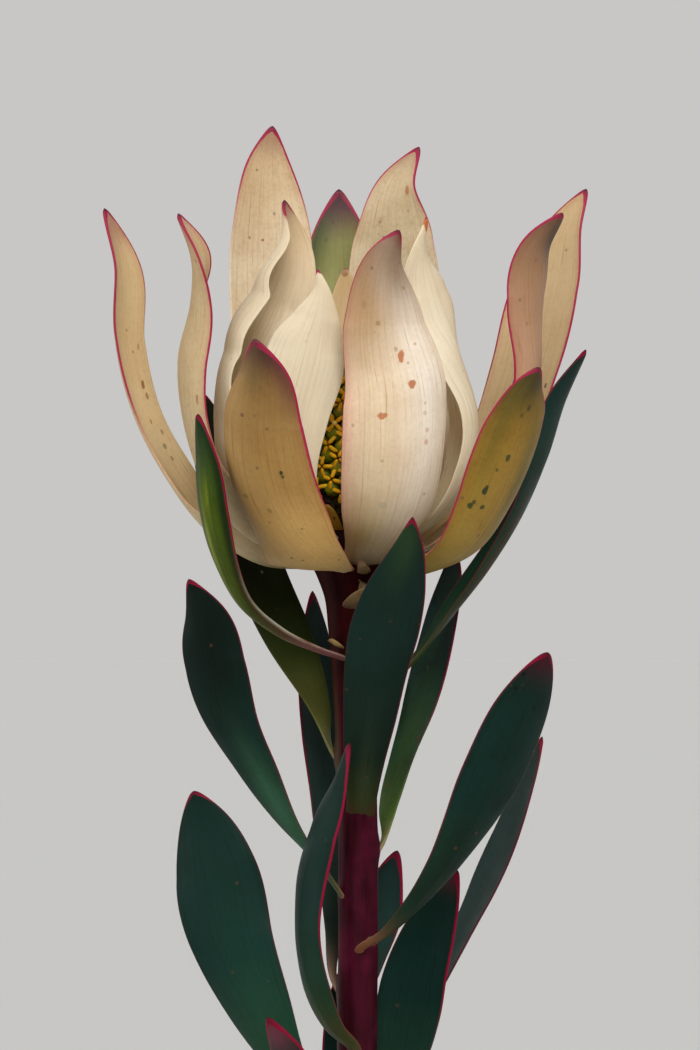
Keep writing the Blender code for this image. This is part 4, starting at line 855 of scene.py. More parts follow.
# The papery bracts: small dry scales left under the bloom, tan and curled, thin as paper. Each is a
# blade as a leaf is, carried on at its root into the stem.
PAPERY_BRACTS = {
    "papery_bract_front": (
        (2.2, -6.5, 87.8, 2.0, -75, 10), (1.6, -9.2, 86.6, 2.4, -85, 15),
        (-0.4, -10.6, 85.4, 2.0, -100, 10), (-2.8, -10.8, 84.6, 1.0, -105, 5)),
    "papery_bract_under": (
        (1.4, -7.9, 91.0, 1.1, -80, 5), (1.2, -9.8, 91.3, 1.1, -82, 10), (0.9, -10.8, 92.0, 0.9, -85, 10),
        (0.6, -11.2, 93.2, 0.6, -85, 5)),
    "papery_bract_back": (
        (0.6, 6.0, 87.0, 2.0, 75, 15), (1.4, 8.6, 86.6, 2.2, 75, 15), (2.0, 10.6, 86.2, 1.4, 75, 10),
        (2.4, 12.0, 86.8, 0.6, 75, 5)),
}
PAPER_HALF_THICKNESS = 0.3
PAPER_ROOT_DEPTH = 0.5
PAPER_WAVE = 0.2
PAPER_VEINS_ACROSS = 7.0
DRY_TAN = ((0.0, "#4c3a22"), (0.4, "#7c663c"), (0.8, "#6c5632"), (1.0, "#5a4020"))
DRY_EDGE = "#6a3a2a"
DRY_TIP = "#4a2a1c"
PAPER_DRESS = (DRY_TAN, DRY_TAN, 0.0, 0.0, 1.0, 1.0, 1.0)

dry_paper = living_blade("dry papery bract", PAPER_VEINS_ACROSS, DRY_EDGE, DRY_TIP, (), {"Roughness": 0.72})
for serial, (name, stations) in enumerate(PAPERY_BRACTS.items(), start=40):
    stem_x, stem_y, stem_radius = stem_at(stations[0][2])
    seat = np.array([stem_x, stem_y, stem_radius - PAPER_ROOT_DEPTH])
    points, layers, shape = blade_grid(stations, seat, PAPER_HALF_THICKNESS, PAPER_WAVE, serial)
    layers.update(dressed_layers(shape, PAPER_DRESS, ()))
    paper_mesh = mesh_from_grid(name + "_blade", points, layers)
    fixed_piece(name + "_blade", paper_mesh, dry_paper, "papery_bract", name)

# The cone: the egg-shaped head in the middle of the bloom. Green, rounded scales sit on it in
# spirals. Between them small florets open four yellow limbs round a pale stigma, and below the
# scales lie dark withered remains over tan basal bracts.
BLOOM_AXIS_X = -1.0
CONE_FOOT = 99.2
CONE_HEIGHT = 31.0
CONE_RADIUS = 7.8
CONE_WIDEST = 0.36
GOLDEN_ANGLE = math.pi * (3.0 - math.sqrt(5.0))
SCALE_COUNT = 132
SCALE_BAND = (0.19, 0.985)
SCALE_HALF_WIDTH = 1.65
SCALE_RISE = 1.45
LIMB_LENGTH = 1.9
LIMB_HALF_WIDTH = 0.4
LIMBS = 4
FLORETS_PER_STIGMA = 8
# a style's profile: height over the core and radius
STYLE = ((-0.4, 0.2), (0.7, 0.18), (1.55, 0.2), (1.7, 0.42), (1.95, 0.5), (2.2, 0.38), (2.33, 0.14))
BASAL_COUNT = 13
BASAL_HALF_WIDTH = 2.6
BASAL_LENGTH = 9.6
BASAL_SEAT_RADIUS = 5.4
SHRED_COUNT = 110
SHRED_BAND = (0.04, 0.2)
SHRED_RADIUS = 0.42
TISSUE_CLOUD_MM = 2.6
TISSUE_GRAIN_MM = 0.35


def cone_radius(share):
    """Radius of the cone's core at a share of its height: an egg, blunt at the top.

    CONE_RADIUS times (1 - d^2.6)^0.6, d being the distance from the widest share, 1 at the top.
    """
    away = np.minimum(np.abs(share - CONE_WIDEST) / (1.0 - CONE_WIDEST), 1.0)
    return CONE_RADIUS * (1.0 - away**2.6)**0.6


def cone_seats(count, band, shift):
    """Places in a golden-angle spiral up the cone, and the outward, sideways and upward directions."""
    lowest, highest = band
    step = (np.arange(count) + shift) / count
    share = lowest + step * (highest - lowest)
    angle = (np.arange(count) + shift) * GOLDEN_ANGLE
    radius = cone_radius(share)
    slope = (cone_radius(share + 0.01) - radius) / (0.01 * CONE_HEIGHT)
    radial = np.stack([np.cos(angle), np.sin(angle), 0.0 * angle], axis=1)
    outward = unit(radial - slope[:, None] * np.array([0.0, 0.0, 1.0]))
    sideways = np.stack([np.sin(angle), -np.cos(angle), 0.0 * angle], axis=1)
    middle = np.stack([0.0 * share + BLOOM_AXIS_X, 0.0 * share,
                       PLANT_ZERO + CONE_FOOT + share * CONE_HEIGHT], axis=1)
    return radial * radius[:, None] + middle, outward, sideways, np.cross(sideways, outward)


def turned_about_z(local, turn):
    """Local points turned by angles that broadcast against the grid's rows and columns."""
    x, y, z = np.moveaxis(local, -1, 0)
    return np.stack([x * np.cos(turn) - y * np.sin(turn), x * np.sin(turn) + y * np.cos(turn),
                     z + 0.0 * turn], axis=-1)


def seated(local, seats, turn=0.0):
    """Local grids, x sideways, y up the cone and z outwards, turned on their seats, in metres."""
    place, outward, sideways, upward = [part[:, None, None, :] for part in seats]
    local = turned_about_z(local, np.asarray(turn, dtype=float).reshape(-1, 1, 1))
    x, y, z = [local[..., axis, None] for axis in range(3)]
    return (place + x * sideways + y * upward + z * outward) * MILLIMETRE


def cone_core():
    """The head's own body: the radius above carried round the axis."""
    share = np.linspace(0.0, 1.0, 40)[:, None]
    height = PLANT_ZERO + CONE_FOOT + share * CONE_HEIGHT
    return circles(BLOOM_AXIS_X, 0.0, np.maximum(cone_radius(share), 0.05), height, 48) * MILLIMETRE


def scale_domes(seats):
    """Each scale: a blunt dome with its top drawn up to a low beak, smaller towards the head's top.

    At a latitude t it is half width times cos(t)^0.6 wide, 0.86 of that tall plus 0.5 mm sin(t),
    and rises by SCALE_RISE sin(t); its size goes with 0.72 plus 0.28 of the cone's radius there.
    """
    latitude = np.linspace(-0.5, 0.5 * np.pi - 0.08, 8)[:, None]
    angle = round_angles(14)
    wide = SCALE_HALF_WIDTH * np.cos(latitude)**0.6
    x = wide * np.cos(angle)
    y = 0.86 * wide * np.sin(angle) + 0.5 * np.sin(np.maximum(latitude, 0.0))
    z = SCALE_RISE * np.sin(latitude) + 0.0 * angle
    local = np.stack([x, y, z], axis=-1)[None]
    share = (seats[0][:, 2] - PLANT_ZERO - CONE_FOOT) / CONE_HEIGHT
    shrink = 0.72 + 0.28 * np.clip(cone_radius(share) / CONE_RADIUS, 0.0, 1.0)
    return seated(local * shrink[:, None, None, None], seats)


def floret_limbs(seats, turn):
    """Each limb: a bean, its section a circle of half width (1 - u^4)^0.4 for u from -1 to 1 along it.

    It stands 1.75 mm over the core and bends down outwards by 0.32 ((reach - 0.3) / 1.2)^2.
    """
    along = np.linspace(-0.98, 0.98, 7)[:, None]
    angle = round_angles(7)
    radius = LIMB_HALF_WIDTH * (1.0 - along**4)**0.4
    reach = 0.25 + LIMB_LENGTH * 0.5 * (1.0 + along)
    x = reach + 0.0 * angle
    y = radius * np.cos(angle)
    z = 1.75 - 0.32 * ((reach - 0.3) / 1.2)**2 + 0.8 * radius * np.sin(angle)
    quarter = (np.arange(LIMBS) * math.tau / LIMBS)[:, None, None]
    limbs = turned_about_z(np.stack([x, y, z], axis=-1), quarter)
    return np.stack([seated(limb[None], seats, turn) for limb in limbs], axis=1)


def stigma_beads(seats):
    """Each style: a column from the core with a round, pale bead for its stigma."""
    height, radius = [column[:, None] for column in np.array(STYLE).T]
    return seated(circles(0.0, 0.0, radius, height, 8)[None], seats)


def basal_bracts():
    """Round the head's foot: short broad scales, lens sections on a leaf outline, leaning out.

    With s the share of the length, a scale is 1.5 (s (1 - s))^0.4 times BASAL_HALF_WIDTH wide to each
    side and stands off by 1.9 sqrt(s), less 0.55 of its width times across squared.
    """
    serial = np.arange(BASAL_COUNT)
    turn = serial * math.tau / BASAL_COUNT * 2.0 + 0.3 * np.sin(serial * 5.0)
    share = np.linspace(0.02, 0.98, 12)[:, None]
    across, face = np.cos(round_angles(14)), np.sin(round_angles(14))
    half_width = BASAL_HALF_WIDTH * (share * (1.0 - share))**0.4 * 1.5
    x = half_width * across
    y = BASAL_LENGTH * share - 3.2 + 0.0 * across
    z = (0.1 + 1.9 * np.sqrt(share) - 0.55 * across**2 * half_width / BASAL_HALF_WIDTH
         + 0.28 * np.sign(face) * np.abs(face)**0.5)
    local = np.stack([x, y, z], axis=-1)[None]
    radial = np.stack([np.cos(turn), np.sin(turn), 0.0 * turn], axis=1)
    place = radial * BASAL_SEAT_RADIUS + np.array([BLOOM_AXIS_X, 0.0, PLANT_ZERO + CONE_FOOT - 0.6])
    sideways = np.stack([np.sin(turn), -np.cos(turn), 0.0 * turn], axis=1)
    upward = unit(radial * 0.42 + np.array([0.0, 0.0, 1.0]))
    return seated(local, (place, np.cross(upward, sideways), sideways, upward))


def withered_remains():
    """Between the basal bracts and the scales: thin dark shreds, tapering tubes that curl up.

    At a share t of its length a shred has gone 2.1 t out, 0.6 t^2 up and its lean times t^2 aside.
    """
    seats = cone_seats(SHRED_COUNT, SHRED_BAND, 0.25)
    along = np.linspace(0.0, 1.0, 7)[:, None]
    angle = round_angles(6)
    radius = SHRED_RADIUS * (1.0 - 0.8 * along)
    lean = 1.3 * np.sin(np.arange(SHRED_COUNT) * 2.4)[:, None, None]
    x = lean * along**2 + radius * np.cos(angle)
    y = 0.6 * along**2 + radius * np.sin(angle) + 0.0 * lean
    z = 2.1 * along - 0.3 + 0.0 * angle + 0.0 * lean
    return seated(np.stack([x, y, z], axis=-1), seats)


def plant_tissue(name, low, high, tip, seed, rough):
    """Small fleshy parts: two colours in soft clouds, a third on the raised parts, finely grained."""
    material, tree, shader = new_material(name, {"Roughness": rough, "Specular IOR Level": 0.2})
    place = add_node(tree, "TexCoord", output="Object")
    moved = add_node(tree, "Mapping", {"Vector": place, "Location": (seed * MILLIMETRE, 0.0, 0.0)})
    cloud = add_node(tree, "TexNoise", {"Vector": moved, "Scale": 1.0 / (TISSUE_CLOUD_MM * MILLIMETRE),
                                        "Detail": 3.0})
    grain = add_node(tree, "TexNoise", {"Vector": place, "Scale": 1.0 / (TISSUE_GRAIN_MM * MILLIMETRE),
                                        "Detail": 2.0})
    drift = add_node(tree, "MapRange", {"Value": cloud, "From Min": 0.35, "From Max": 0.65})
    base = add_node(tree, "Mix", {0: drift, 6: low, 7: high}, data_type="RGBA")
    raised = add_node(tree, "Attribute", output="Fac", attribute_name="raised")
    topped = add_node(tree, "Mix", {0: raised, 6: base, 7: tip}, data_type="RGBA")
    tree.links.new(topped, shader.inputs["Base Color"])
    bump = add_node(tree, "Bump", {"Height": grain, "Strength": 0.3, "Distance": 0.1 * MILLIMETRE})
    tree.links.new(bump, shader.inputs["Normal"])
    return material


scale_seats = cone_seats(SCALE_COUNT, SCALE_BAND, 0.0)
floret_seats = cone_seats(SCALE_COUNT, SCALE_BAND, 0.5)
chance = np.random.default_rng(7)
floret_turn = chance.uniform(0.0, math.tau, SCALE_COUNT)
stigma_seats = [part[::FLORETS_PER_STIGMA] for part in floret_seats]

# piece, its points, how far the third colour goes up it and with what power, finish, the low, high
# and third colours, roughness
cone_parts = (
    ("cone_core", cone_core(), 0.0, 1, "green cone core", "#20140e", "#2c2a10", "#2c2a10", 0.7),
    ("cone_scales", scale_domes(scale_seats), 0.6, 3,
     "green cone scale", "#5a6a08", "#72800c", "#949428", 0.4),
    ("floret_limbs", floret_limbs(floret_seats, floret_turn), 0.5, 1,
     "yellow floret limb", "#f2a808", "#fcc012", "#ffd43a", 0.45),
    ("floret_stigmas", stigma_beads(stigma_seats), 1.0, 1,
     "pale stigma", "#f0c840", "#f8d858", "#fce884", 0.4),
    ("basal_bracts", basal_bracts(), 0.8, 1, "tan basal bract", "#8c661c", "#a67c26", "#8a6018", 0.36),
    ("withered_remains", withered_remains(), 0.0, 1,
     "withered remains", "#30101c", "#5a2a2e", "#5a2a2e", 0.8),
)
for seed, (name, points, highest, power, finish, low, high, tip, rough) in enumerate(cone_parts, start=1):
    climb = highest * np.linspace(0.0, 1.0, points.shape[-3])**power
    raised = np.broadcast_to(climb[:, None], points.shape[:-1])
    fixed_piece(name, mesh_from_grid(name, points, {"raised": raised}),
                plant_tissue(finish, low, high, tip, seed, rough), "cone", "cone")

# The bracts: the broad, coloured leaves of the bloom, cream, tan or green, cupped towards the cone.
# They are fleshy and finely veined lengthwise, with a crimson margin that runs into a dark tip, and
# each is a blade as a leaf is, carried on at its root into the receptacle.
BRACTS = {
    "bract_front_right": (
        (1.3, -8.5, 93.3, 4.0, -80, 20), (4.5, -16.5, 99.0, 8.0, -80, 40),
        (7.0, -21.5, 109.0, 10.6, -80, 48), (7.5, -23.5, 122.0, 10.9, -80, 48),
        (5.2, -24.0, 137.0, 8.4, -82, 42), (5.5, -23.0, 148.5, 5.2, -85, 35),
        (7.8, -21.5, 154.6, 2.8, -88, 20)),
    "bract_front_left": (
        (-2.5, -7.6, 91.3, 2.0, -100, 5), (-5.5, -15.0, 92.5, 4.2, -105, 15),
        (-11.5, -22.5, 97.5, 7.8, -112, 25), (-16.2, -28.0, 106.0, 9.4, -115, 32),
        (-18.0, -32.0, 117.5, 8.2, -115, 32), (-17.6, -35.0, 127.0, 5.8, -112, 28),
        (-18.8, -37.0, 133.8, 2.8, -110, 15)),
    "bract_front_left_inner": (
        (-6.0, -7.6, 97.3, 2.4, -112, 10), (-10.6, -13.5, 102.0, 3.6, -114, 25),
        (-12.6, -16.5, 110.5, 5.4, -112, 35), (-12.2, -17.5, 120.0, 7.0, -110, 35),
        (-9.5, -17.5, 132.0, 7.8, -108, 35), (-7.6, -17.0, 138.5, 5.0, -105, 30),
        (-6.8, -16.5, 143.5, 2.4, -105, 20), (-7.4, -16.0, 147.6, 1.3, -105, 10)),
    "bract_left_inner": (
        (-9.6, -1.0, 96.8, 2.4, 185, 10), (-18.0, -2.5, 100.0, 5.0, 180, 35),
        (-25.0, -3.5, 109.0, 8.0, 172, 55), (-26.2, -3.0, 118.0, 9.0, 165, 62),
        (-22.6, -2.0, 131.0, 9.8, 154, 66), (-17.2, -1.0, 142.5, 9.4, 150, 66),
        (-13.6, -1.0, 153.5, 6.8, 148, 58), (-13.8, -2.0, 161.4, 3.2, 150, 30)),
    "bract_left": (
        (-9.6, -2.9, 94.0, 2.4, 200, 10), (-19.0, -6.5, 97.0, 4.8, 205, 20),
        (-26.8, -8.5, 105.5, 6.4, 202, 25), (-31.4, -9.5, 117.5, 7.0, 201, 30),
        (-32.6, -10.0, 130.0, 7.0, 200, 35), (-30.8, -10.5, 141.5, 6.4, 188, 45),
        (-30.8, -11.5, 150.5, 6.0, 170, 50), (-33.6, -12.5, 158.2, 3.0, 168, 35)),
    "bract_far_left": (
        (-8.8, 1.6, 91.8, 2.2, 175, 10), (-18.0, 3.2, 92.6, 4.6, 162, 20),
        (-27.0, 5.0, 98.0, 6.6, 157, 28), (-35.0, 6.5, 108.5, 7.2, 155, 32),
        (-41.8, 7.8, 121.5, 6.9, 155, 32), (-45.0, 8.5, 135.5, 6.4, 156, 32),
        (-45.0, 8.5, 149.0, 5.6, 156, 32), (-48.4, 8.0, 160.4, 3.0, 158, 20)),
    "bract_back_left": (
        (-5.6, 7.8, 94.8, 2.8, 120, 10), (-11.0, 17.0, 99.5, 6.0, 118, 25),
        (-14.5, 23.5, 110.0, 8.2, 114, 35), (-16.5, 27.5, 125.0, 8.8, 112, 36),
        (-17.5, 29.5, 141.0, 9.0, 110, 36), (-17.5, 30.0, 157.0, 8.8, 110, 34),
        (-17.5, 30.0, 169.5, 6.2, 110, 28), (-16.5, 29.5, 177.8, 3.2, 110, 15)),
    "bract_back_green": (
        (-1.5, 8.2, 91.8, 2.4, 93, 10), (-2.0, 19.0, 93.5, 5.4, 93, 20), (-2.5, 28.5, 101.5, 7.2, 93, 28),
        (-3.0, 33.5, 116.0, 8.2, 93, 32), (-3.5, 35.5, 133.0, 8.6, 93, 32),
        (-3.5, 37.0, 149.0, 8.0, 93, 30), (-3.5, 38.0, 159.0, 5.8, 93, 25),
        (-3.5, 38.5, 166.0, 3.2, 93, 15)),
    "bract_back_centre": (
        (-1.0, 9.3, 97.0, 2.2, 92, 10), (-0.5, 12.8, 104.0, 3.8, 90, 30),
        (-1.0, 14.5, 117.0, 5.2, 88, 38), (-1.5, 14.5, 131.0, 5.2, 88, 38),
        (-2.0, 14.0, 141.5, 3.8, 88, 30), (-2.2, 13.5, 149.2, 2.0, 88, 15)),
    "bract_back_right": (
        (3.7, 8.1, 94.8, 2.8, 62, 10), (6.5, 16.0, 99.0, 6.0, 66, 25), (7.5, 22.5, 109.0, 8.6, 70, 35),
        (8.0, 26.0, 124.0, 9.8, 74, 38), (8.0, 27.5, 140.0, 10.0, 76, 38),
        (7.6, 28.0, 155.0, 8.6, 78, 34), (8.2, 28.0, 166.0, 5.2, 80, 26),
        (12.2, 28.0, 173.6, 2.6, 82, 15)),
    "bract_right_folded": (
        (7.9, -1.9, 96.6, 2.4, -10, 10), (13.5, -3.8, 99.5, 5.0, 5, 35), (20.5, -4.5, 108.5, 7.8, 12, 55),
        (22.5, -4.5, 118.5, 8.4, 12, 58), (19.2, -5.5, 131.5, 8.6, 2, 56),
        (14.6, -7.0, 143.5, 8.0, -22, 48), (12.6, -8.0, 151.5, 5.4, -8, 48),
        (13.0, -8.0, 157.8, 2.6, 5, 30)),
    "bract_right_inner": (
        (8.4, 0.8, 94.2, 2.4, 10, 10), (16.0, 0.5, 96.5, 4.8, 12, 40), (24.5, -0.5, 103.0, 7.2, 12, 60),
        (31.0, -2.0, 114.5, 8.4, 8, 66), (34.3, -3.5, 129.0, 8.6, 2, 62),
        (34.3, -5.0, 143.0, 8.6, -18, 50), (35.0, -6.5, 152.0, 6.6, -35, 42),
        (38.8, -7.5, 158.6, 3.4, -45, 25)),
    "bract_right_outer": (
        (6.2, 4.9, 92.2, 2.2, 35, 10), (14.0, 10.5, 95.5, 4.6, 42, 20), (22.5, 15.5, 104.0, 7.0, 52, 28),
        (29.0, 19.0, 116.0, 8.2, 56, 32), (34.0, 21.5, 130.0, 8.8, 58, 34),
        (38.0, 22.5, 146.0, 8.4, 60, 32), (41.0, 22.5, 157.5, 5.6, 62, 26),
        (44.6, 22.0, 165.0, 3.0, 64, 15)),
    "bract_front_right_low": (
        (4.4, -5.6, 89.9, 1.8, -45, 5), (12.0, -12.5, 91.0, 3.4, -46, 12),
        (19.3, -18.5, 95.0, 5.8, -48, 22), (24.3, -22.5, 102.5, 7.6, -50, 30),
        (27.8, -26.0, 111.0, 8.0, -52, 32), (30.2, -28.5, 119.0, 7.0, -54, 30),
        (31.6, -30.5, 124.5, 5.2, -55, 25), (33.5, -31.5, 128.8, 3.4, -55, 15)),
    "bract_hidden_back_left": (
        (-8.2, 5.2, 97.0, 2.2, 140, 10), (-12.5, 9.5, 102.0, 4.6, 138, 25),
        (-15.0, 12.5, 112.0, 6.4, 136, 34), (-14.5, 13.5, 125.0, 6.2, 134, 34),
        (-12.0, 13.5, 136.0, 4.0, 132, 28), (-11.0, 13.5, 141.5, 2.0, 132, 15)),
    "bract_hidden_back_right": (
        (6.0, 5.8, 97.0, 2.2, 40, 10), (11.5, 10.5, 102.0, 5.0, 42, 25), (14.5, 13.5, 113.0, 7.0, 44, 34),
        (15.0, 15.0, 126.0, 6.6, 46, 34), (13.5, 15.5, 137.0, 4.2, 48, 28),
        (12.5, 15.5, 142.5, 2.0, 48, 15)),
}
BRACT_HALF_THICKNESS = 0.44
BRACT_WAVE = 0.2
RECEPTACLE = np.array([-1.0, 0.0, 7.5])
BRACT_VEINS_ACROSS = 7.5
BRACT_CRIMSON = "#9c0c3c"
BRACT_DARK_TIP = "#34101c"
IVORY = ((0.0, "#8f8763"), (0.1, "#c4b492"), (0.3, "#e6d7b9"), (0.7, "#f0e3c8"), (1.0, "#e8d6b4"))
CREAM = ((0.0, "#8f8060"), (0.12, "#c2ad86"), (0.35, "#dfcca8"), (0.7, "#ead9ba"), (1.0, "#d9bd92"))
PINK_CREAM = (
    (0.0, "#6e5829"), (0.12, "#a08548"), (0.3, "#dcc4a0"), (0.6, "#ecd4b2"), (0.76, "#b08c5e"),
    (0.92, "#825c30"), (1.0, "#603a30"))
TAN_CREAM = ((0.0, "#9c8c62"), (0.15, "#c4ac7c"), (0.45, "#d6be92"), (0.8, "#d6bd92"), (1.0, "#c8a878"))
# golden brown, darker upwards; the pale lower part is partly its own colour and partly painted light
GOLDEN = (
    (0.0, "#f4daa0"), (0.13, "#e8c684"), (0.28, "#cea25a"), (0.5, "#a68042"), (0.7, "#9c783e"),
    (1.0, "#805e2c"))
OLIVE_GOLD = ((0.0, "#c9b67c"), (0.15, "#a4883a"), (0.5, "#9c7a22"), (0.8, "#927018"), (1.0, "#6c5014"))
ROSY_TAN = ((0.0, "#b0a070"), (0.3, "#cbb18a"), (0.6, "#bf9270"), (0.85, "#a47c5a"), (1.0, "#7c5a40"))
GREENISH = (
    (0.0, "#a3a06a"), (0.4, "#a3a56a"), (0.75, "#a0a262"), (0.88, "#8c8c50"), (0.96, "#64403e"),
    (1.0, "#4a1c2c"))
# as for the leaves: outer and inner colours, crimson left and right, tip length, start, age
BRACT_DRESS = {
    "bract_front_right": (PINK_CREAM, IVORY, 0.24, 0.08, 5.5, 0.05, 0.45),
    "bract_front_left": (GOLDEN, TAN_CREAM, 0.12, 0.52, 6.0, 0.3, 0.6),
    "bract_front_left_inner": (IVORY, IVORY, 0.09, 0.06, 1.5, 0.85, 0.2),
    "bract_left_inner": (IVORY, CREAM, 0.1, 0.1, 4.5, 0.9, 0.3),
    "bract_left": (TAN_CREAM, CREAM, 0.38, 0.34, 3.0, 0.3, 0.6),
    "bract_far_left": (TAN_CREAM, TAN_CREAM, 0.36, 0.4, 4.0, (0.62, 0.4), 0.5),
    "bract_back_left": (CREAM, CREAM, 0.42, 0.36, 4.0, 0.68, 0.75),
    "bract_back_green": (GREENISH, GREENISH, 0.26, 0.26, 9.0, 0.5, 0.5),
    "bract_back_centre": (TAN_CREAM, TAN_CREAM, 0.0, 0.0, 0.5, 1.0, 0.2),
    "bract_back_right": (CREAM, CREAM, 0.42, 0.36, 4.0, 0.68, 0.8),
    "bract_right_folded": (IVORY, IVORY, 0.0, 0.08, 0.6, 0.95, 0.25),
    "bract_right_inner": (ROSY_TAN, CREAM, 0.36, 0.36, 3.0, 0.25, 0.4),
    "bract_right_outer": (TAN_CREAM, TAN_CREAM, 0.38, 0.34, 4.0, 0.35, 0.45),
    "bract_front_right_low": (OLIVE_GOLD, TAN_CREAM, 0.32, 0.32, 3.5, 0.2, 0.8),
    "bract_hidden_back_left": (CREAM, IVORY, 0.19, 0.19, 3.0, 0.4, 0.3),
    "bract_hidden_back_right": (CREAM, IVORY, 0.19, 0.19, 3.0, 0.4, 0.3),
}
# soft patches, as for the leaves
BRACT_PATCHES = {
    "bract_front_right": (
        (0.5, 0.6, 30.0, 4.8, "#fdf2e2", 0.9, 1), (0.42, -0.9, 24.0, 2.0, "#eebfa8", 0.6, 1),
        (0.99, 0.6, 2.6, 1.8, "#7c1030", 0.8, 1), (0.9, 0.4, 8.0, 3.4, "#6c4a22", 0.65, 1)),
    "bract_front_left": (
        # the light patch low in the middle and the lighter band along the left are painted light
        (0.26, 0.3, 10.0, 5.0, "#e8bc70", 0.75, 1), (0.9, -0.4, 6.0, 2.6, "#4c4218", 0.6, 1),
        (0.9, 0.8, 7.0, 2.2, "#6a2c34", 0.7, 1), (0.975, 0.1, 4.6, 4.8, "#2c0008", 1.0, 1),
        (0.5, -0.8, 26.0, 3.2, "#b8945c", 0.65, 1)),
    "bract_front_right_low": (
        (0.97, -0.2, 7.0, 4.6, "#343006", 0.9, 1), (0.6, 0.6, 14.0, 2.0, "#645c14", 0.7, 1),
        (0.8, -0.6, 11.0, 1.8, "#6a6214", 0.6, 1), (0.62, 0.0, 9.0, 2.0, "#a98434", 0.5, 1),
        (0.4, -0.4, 12.0, 2.5, "#a98c3c", 0.5, 1)),
    "bract_left_inner": (
        # the greyer tan patches on the inner face are painted shade in the hollow of the cup
        (0.99, 0.0, 3.0, 4.0, "#7a3040", 0.6, 0), (0.72, 0.7, 22.0, 3.5, "#ab9262", 0.7, -1),
        (0.7, 0.6, 24.0, 7.0, "#cdb893", 0.6, 1), (0.55, 0.1, 22.0, 5.0, "#b8a474", 0.65, -1)),
    "bract_left": (
        (0.6, 0.0, 40.0, 9.0, "#b0966c", 0.7, 0), (0.97, 0.0, 4.0, 6.0, "#b0706a", 0.5, 0),
        (0.9, -0.5, 10.0, 3.0, "#e0c49a", 0.5, -1)),
    "bract_right_outer": ((0.6, 0.0, 40.0, 9.0, "#b89a6e", 0.75, 0),),
    "bract_front_left_inner": ((0.5, 0.0, 40.0, 12.0, "#d4c4a6", 0.7, 0),),
    "bract_back_green": (
        (0.88, 0.8, 10.0, 2.6, "#3c5032", 0.75, 0), (1.0, 0.0, 5.5, 6.0, "#4c2434", 0.8, 0)),
    "bract_right_inner": (
        (0.93, 0.5, 5.0, 3.0, "#1c1206", 0.85, 1), (0.5, -0.6, 16.0, 2.0, "#c9a584", 0.5, 1)),
    "bract_back_left": (
        (0.97, 0.0, 3.5, 4.0, "#8a5a50", 0.6, 0), (0.86, 0.4, 12.0, 5.0, "#c4a274", 0.5, 0)),
    "bract_back_right": (
        (0.97, 0.3, 3.5, 3.0, "#8a5a50", 0.5, 0), (0.7, 0.0, 30.0, 12.0, "#b6a582", 0.75, 0)),
    "bract_far_left": (
        (0.6, 0.0, 40.0, 9.0, "#e8cc98", 0.75, -1), (0.88, 1.0, 14.0, 2.2, "#3c4c28", 0.9, 1),
        (0.97, 0.0, 5.0, 6.0, "#a0605c", 0.65, -1)),
    "bract_right_folded": ((0.3, 0.55, 22.0, 3.0, "#dcc896", 0.5, 0),),
}
# in blade_grid's order: curl, wider, widest, bow, extra cup, twist
BRACT_TRIM = {
    "bract_left_inner": (0.28, -0.4, 0.68, 0.0, 30.0),
    "bract_front_left": (0.0, 1.3, 0.17),
    "bract_far_left": (0.0, -1.1, 0.16, 0.0, 50.0, -16.0),
    "bract_left": (0.0, -1.0, 0.18, 0.0, 50.0, -14.0),
    "bract_front_right": (0.0, -0.18, 0.2),
    "bract_front_right_low": (0.0, 0.6, 0.12),
}
RUST, BROWN, UMBER, MOSS, ASH = "#b8601c", "#8e5a28", "#5e3f26", "#28340a", "#a39a8a"
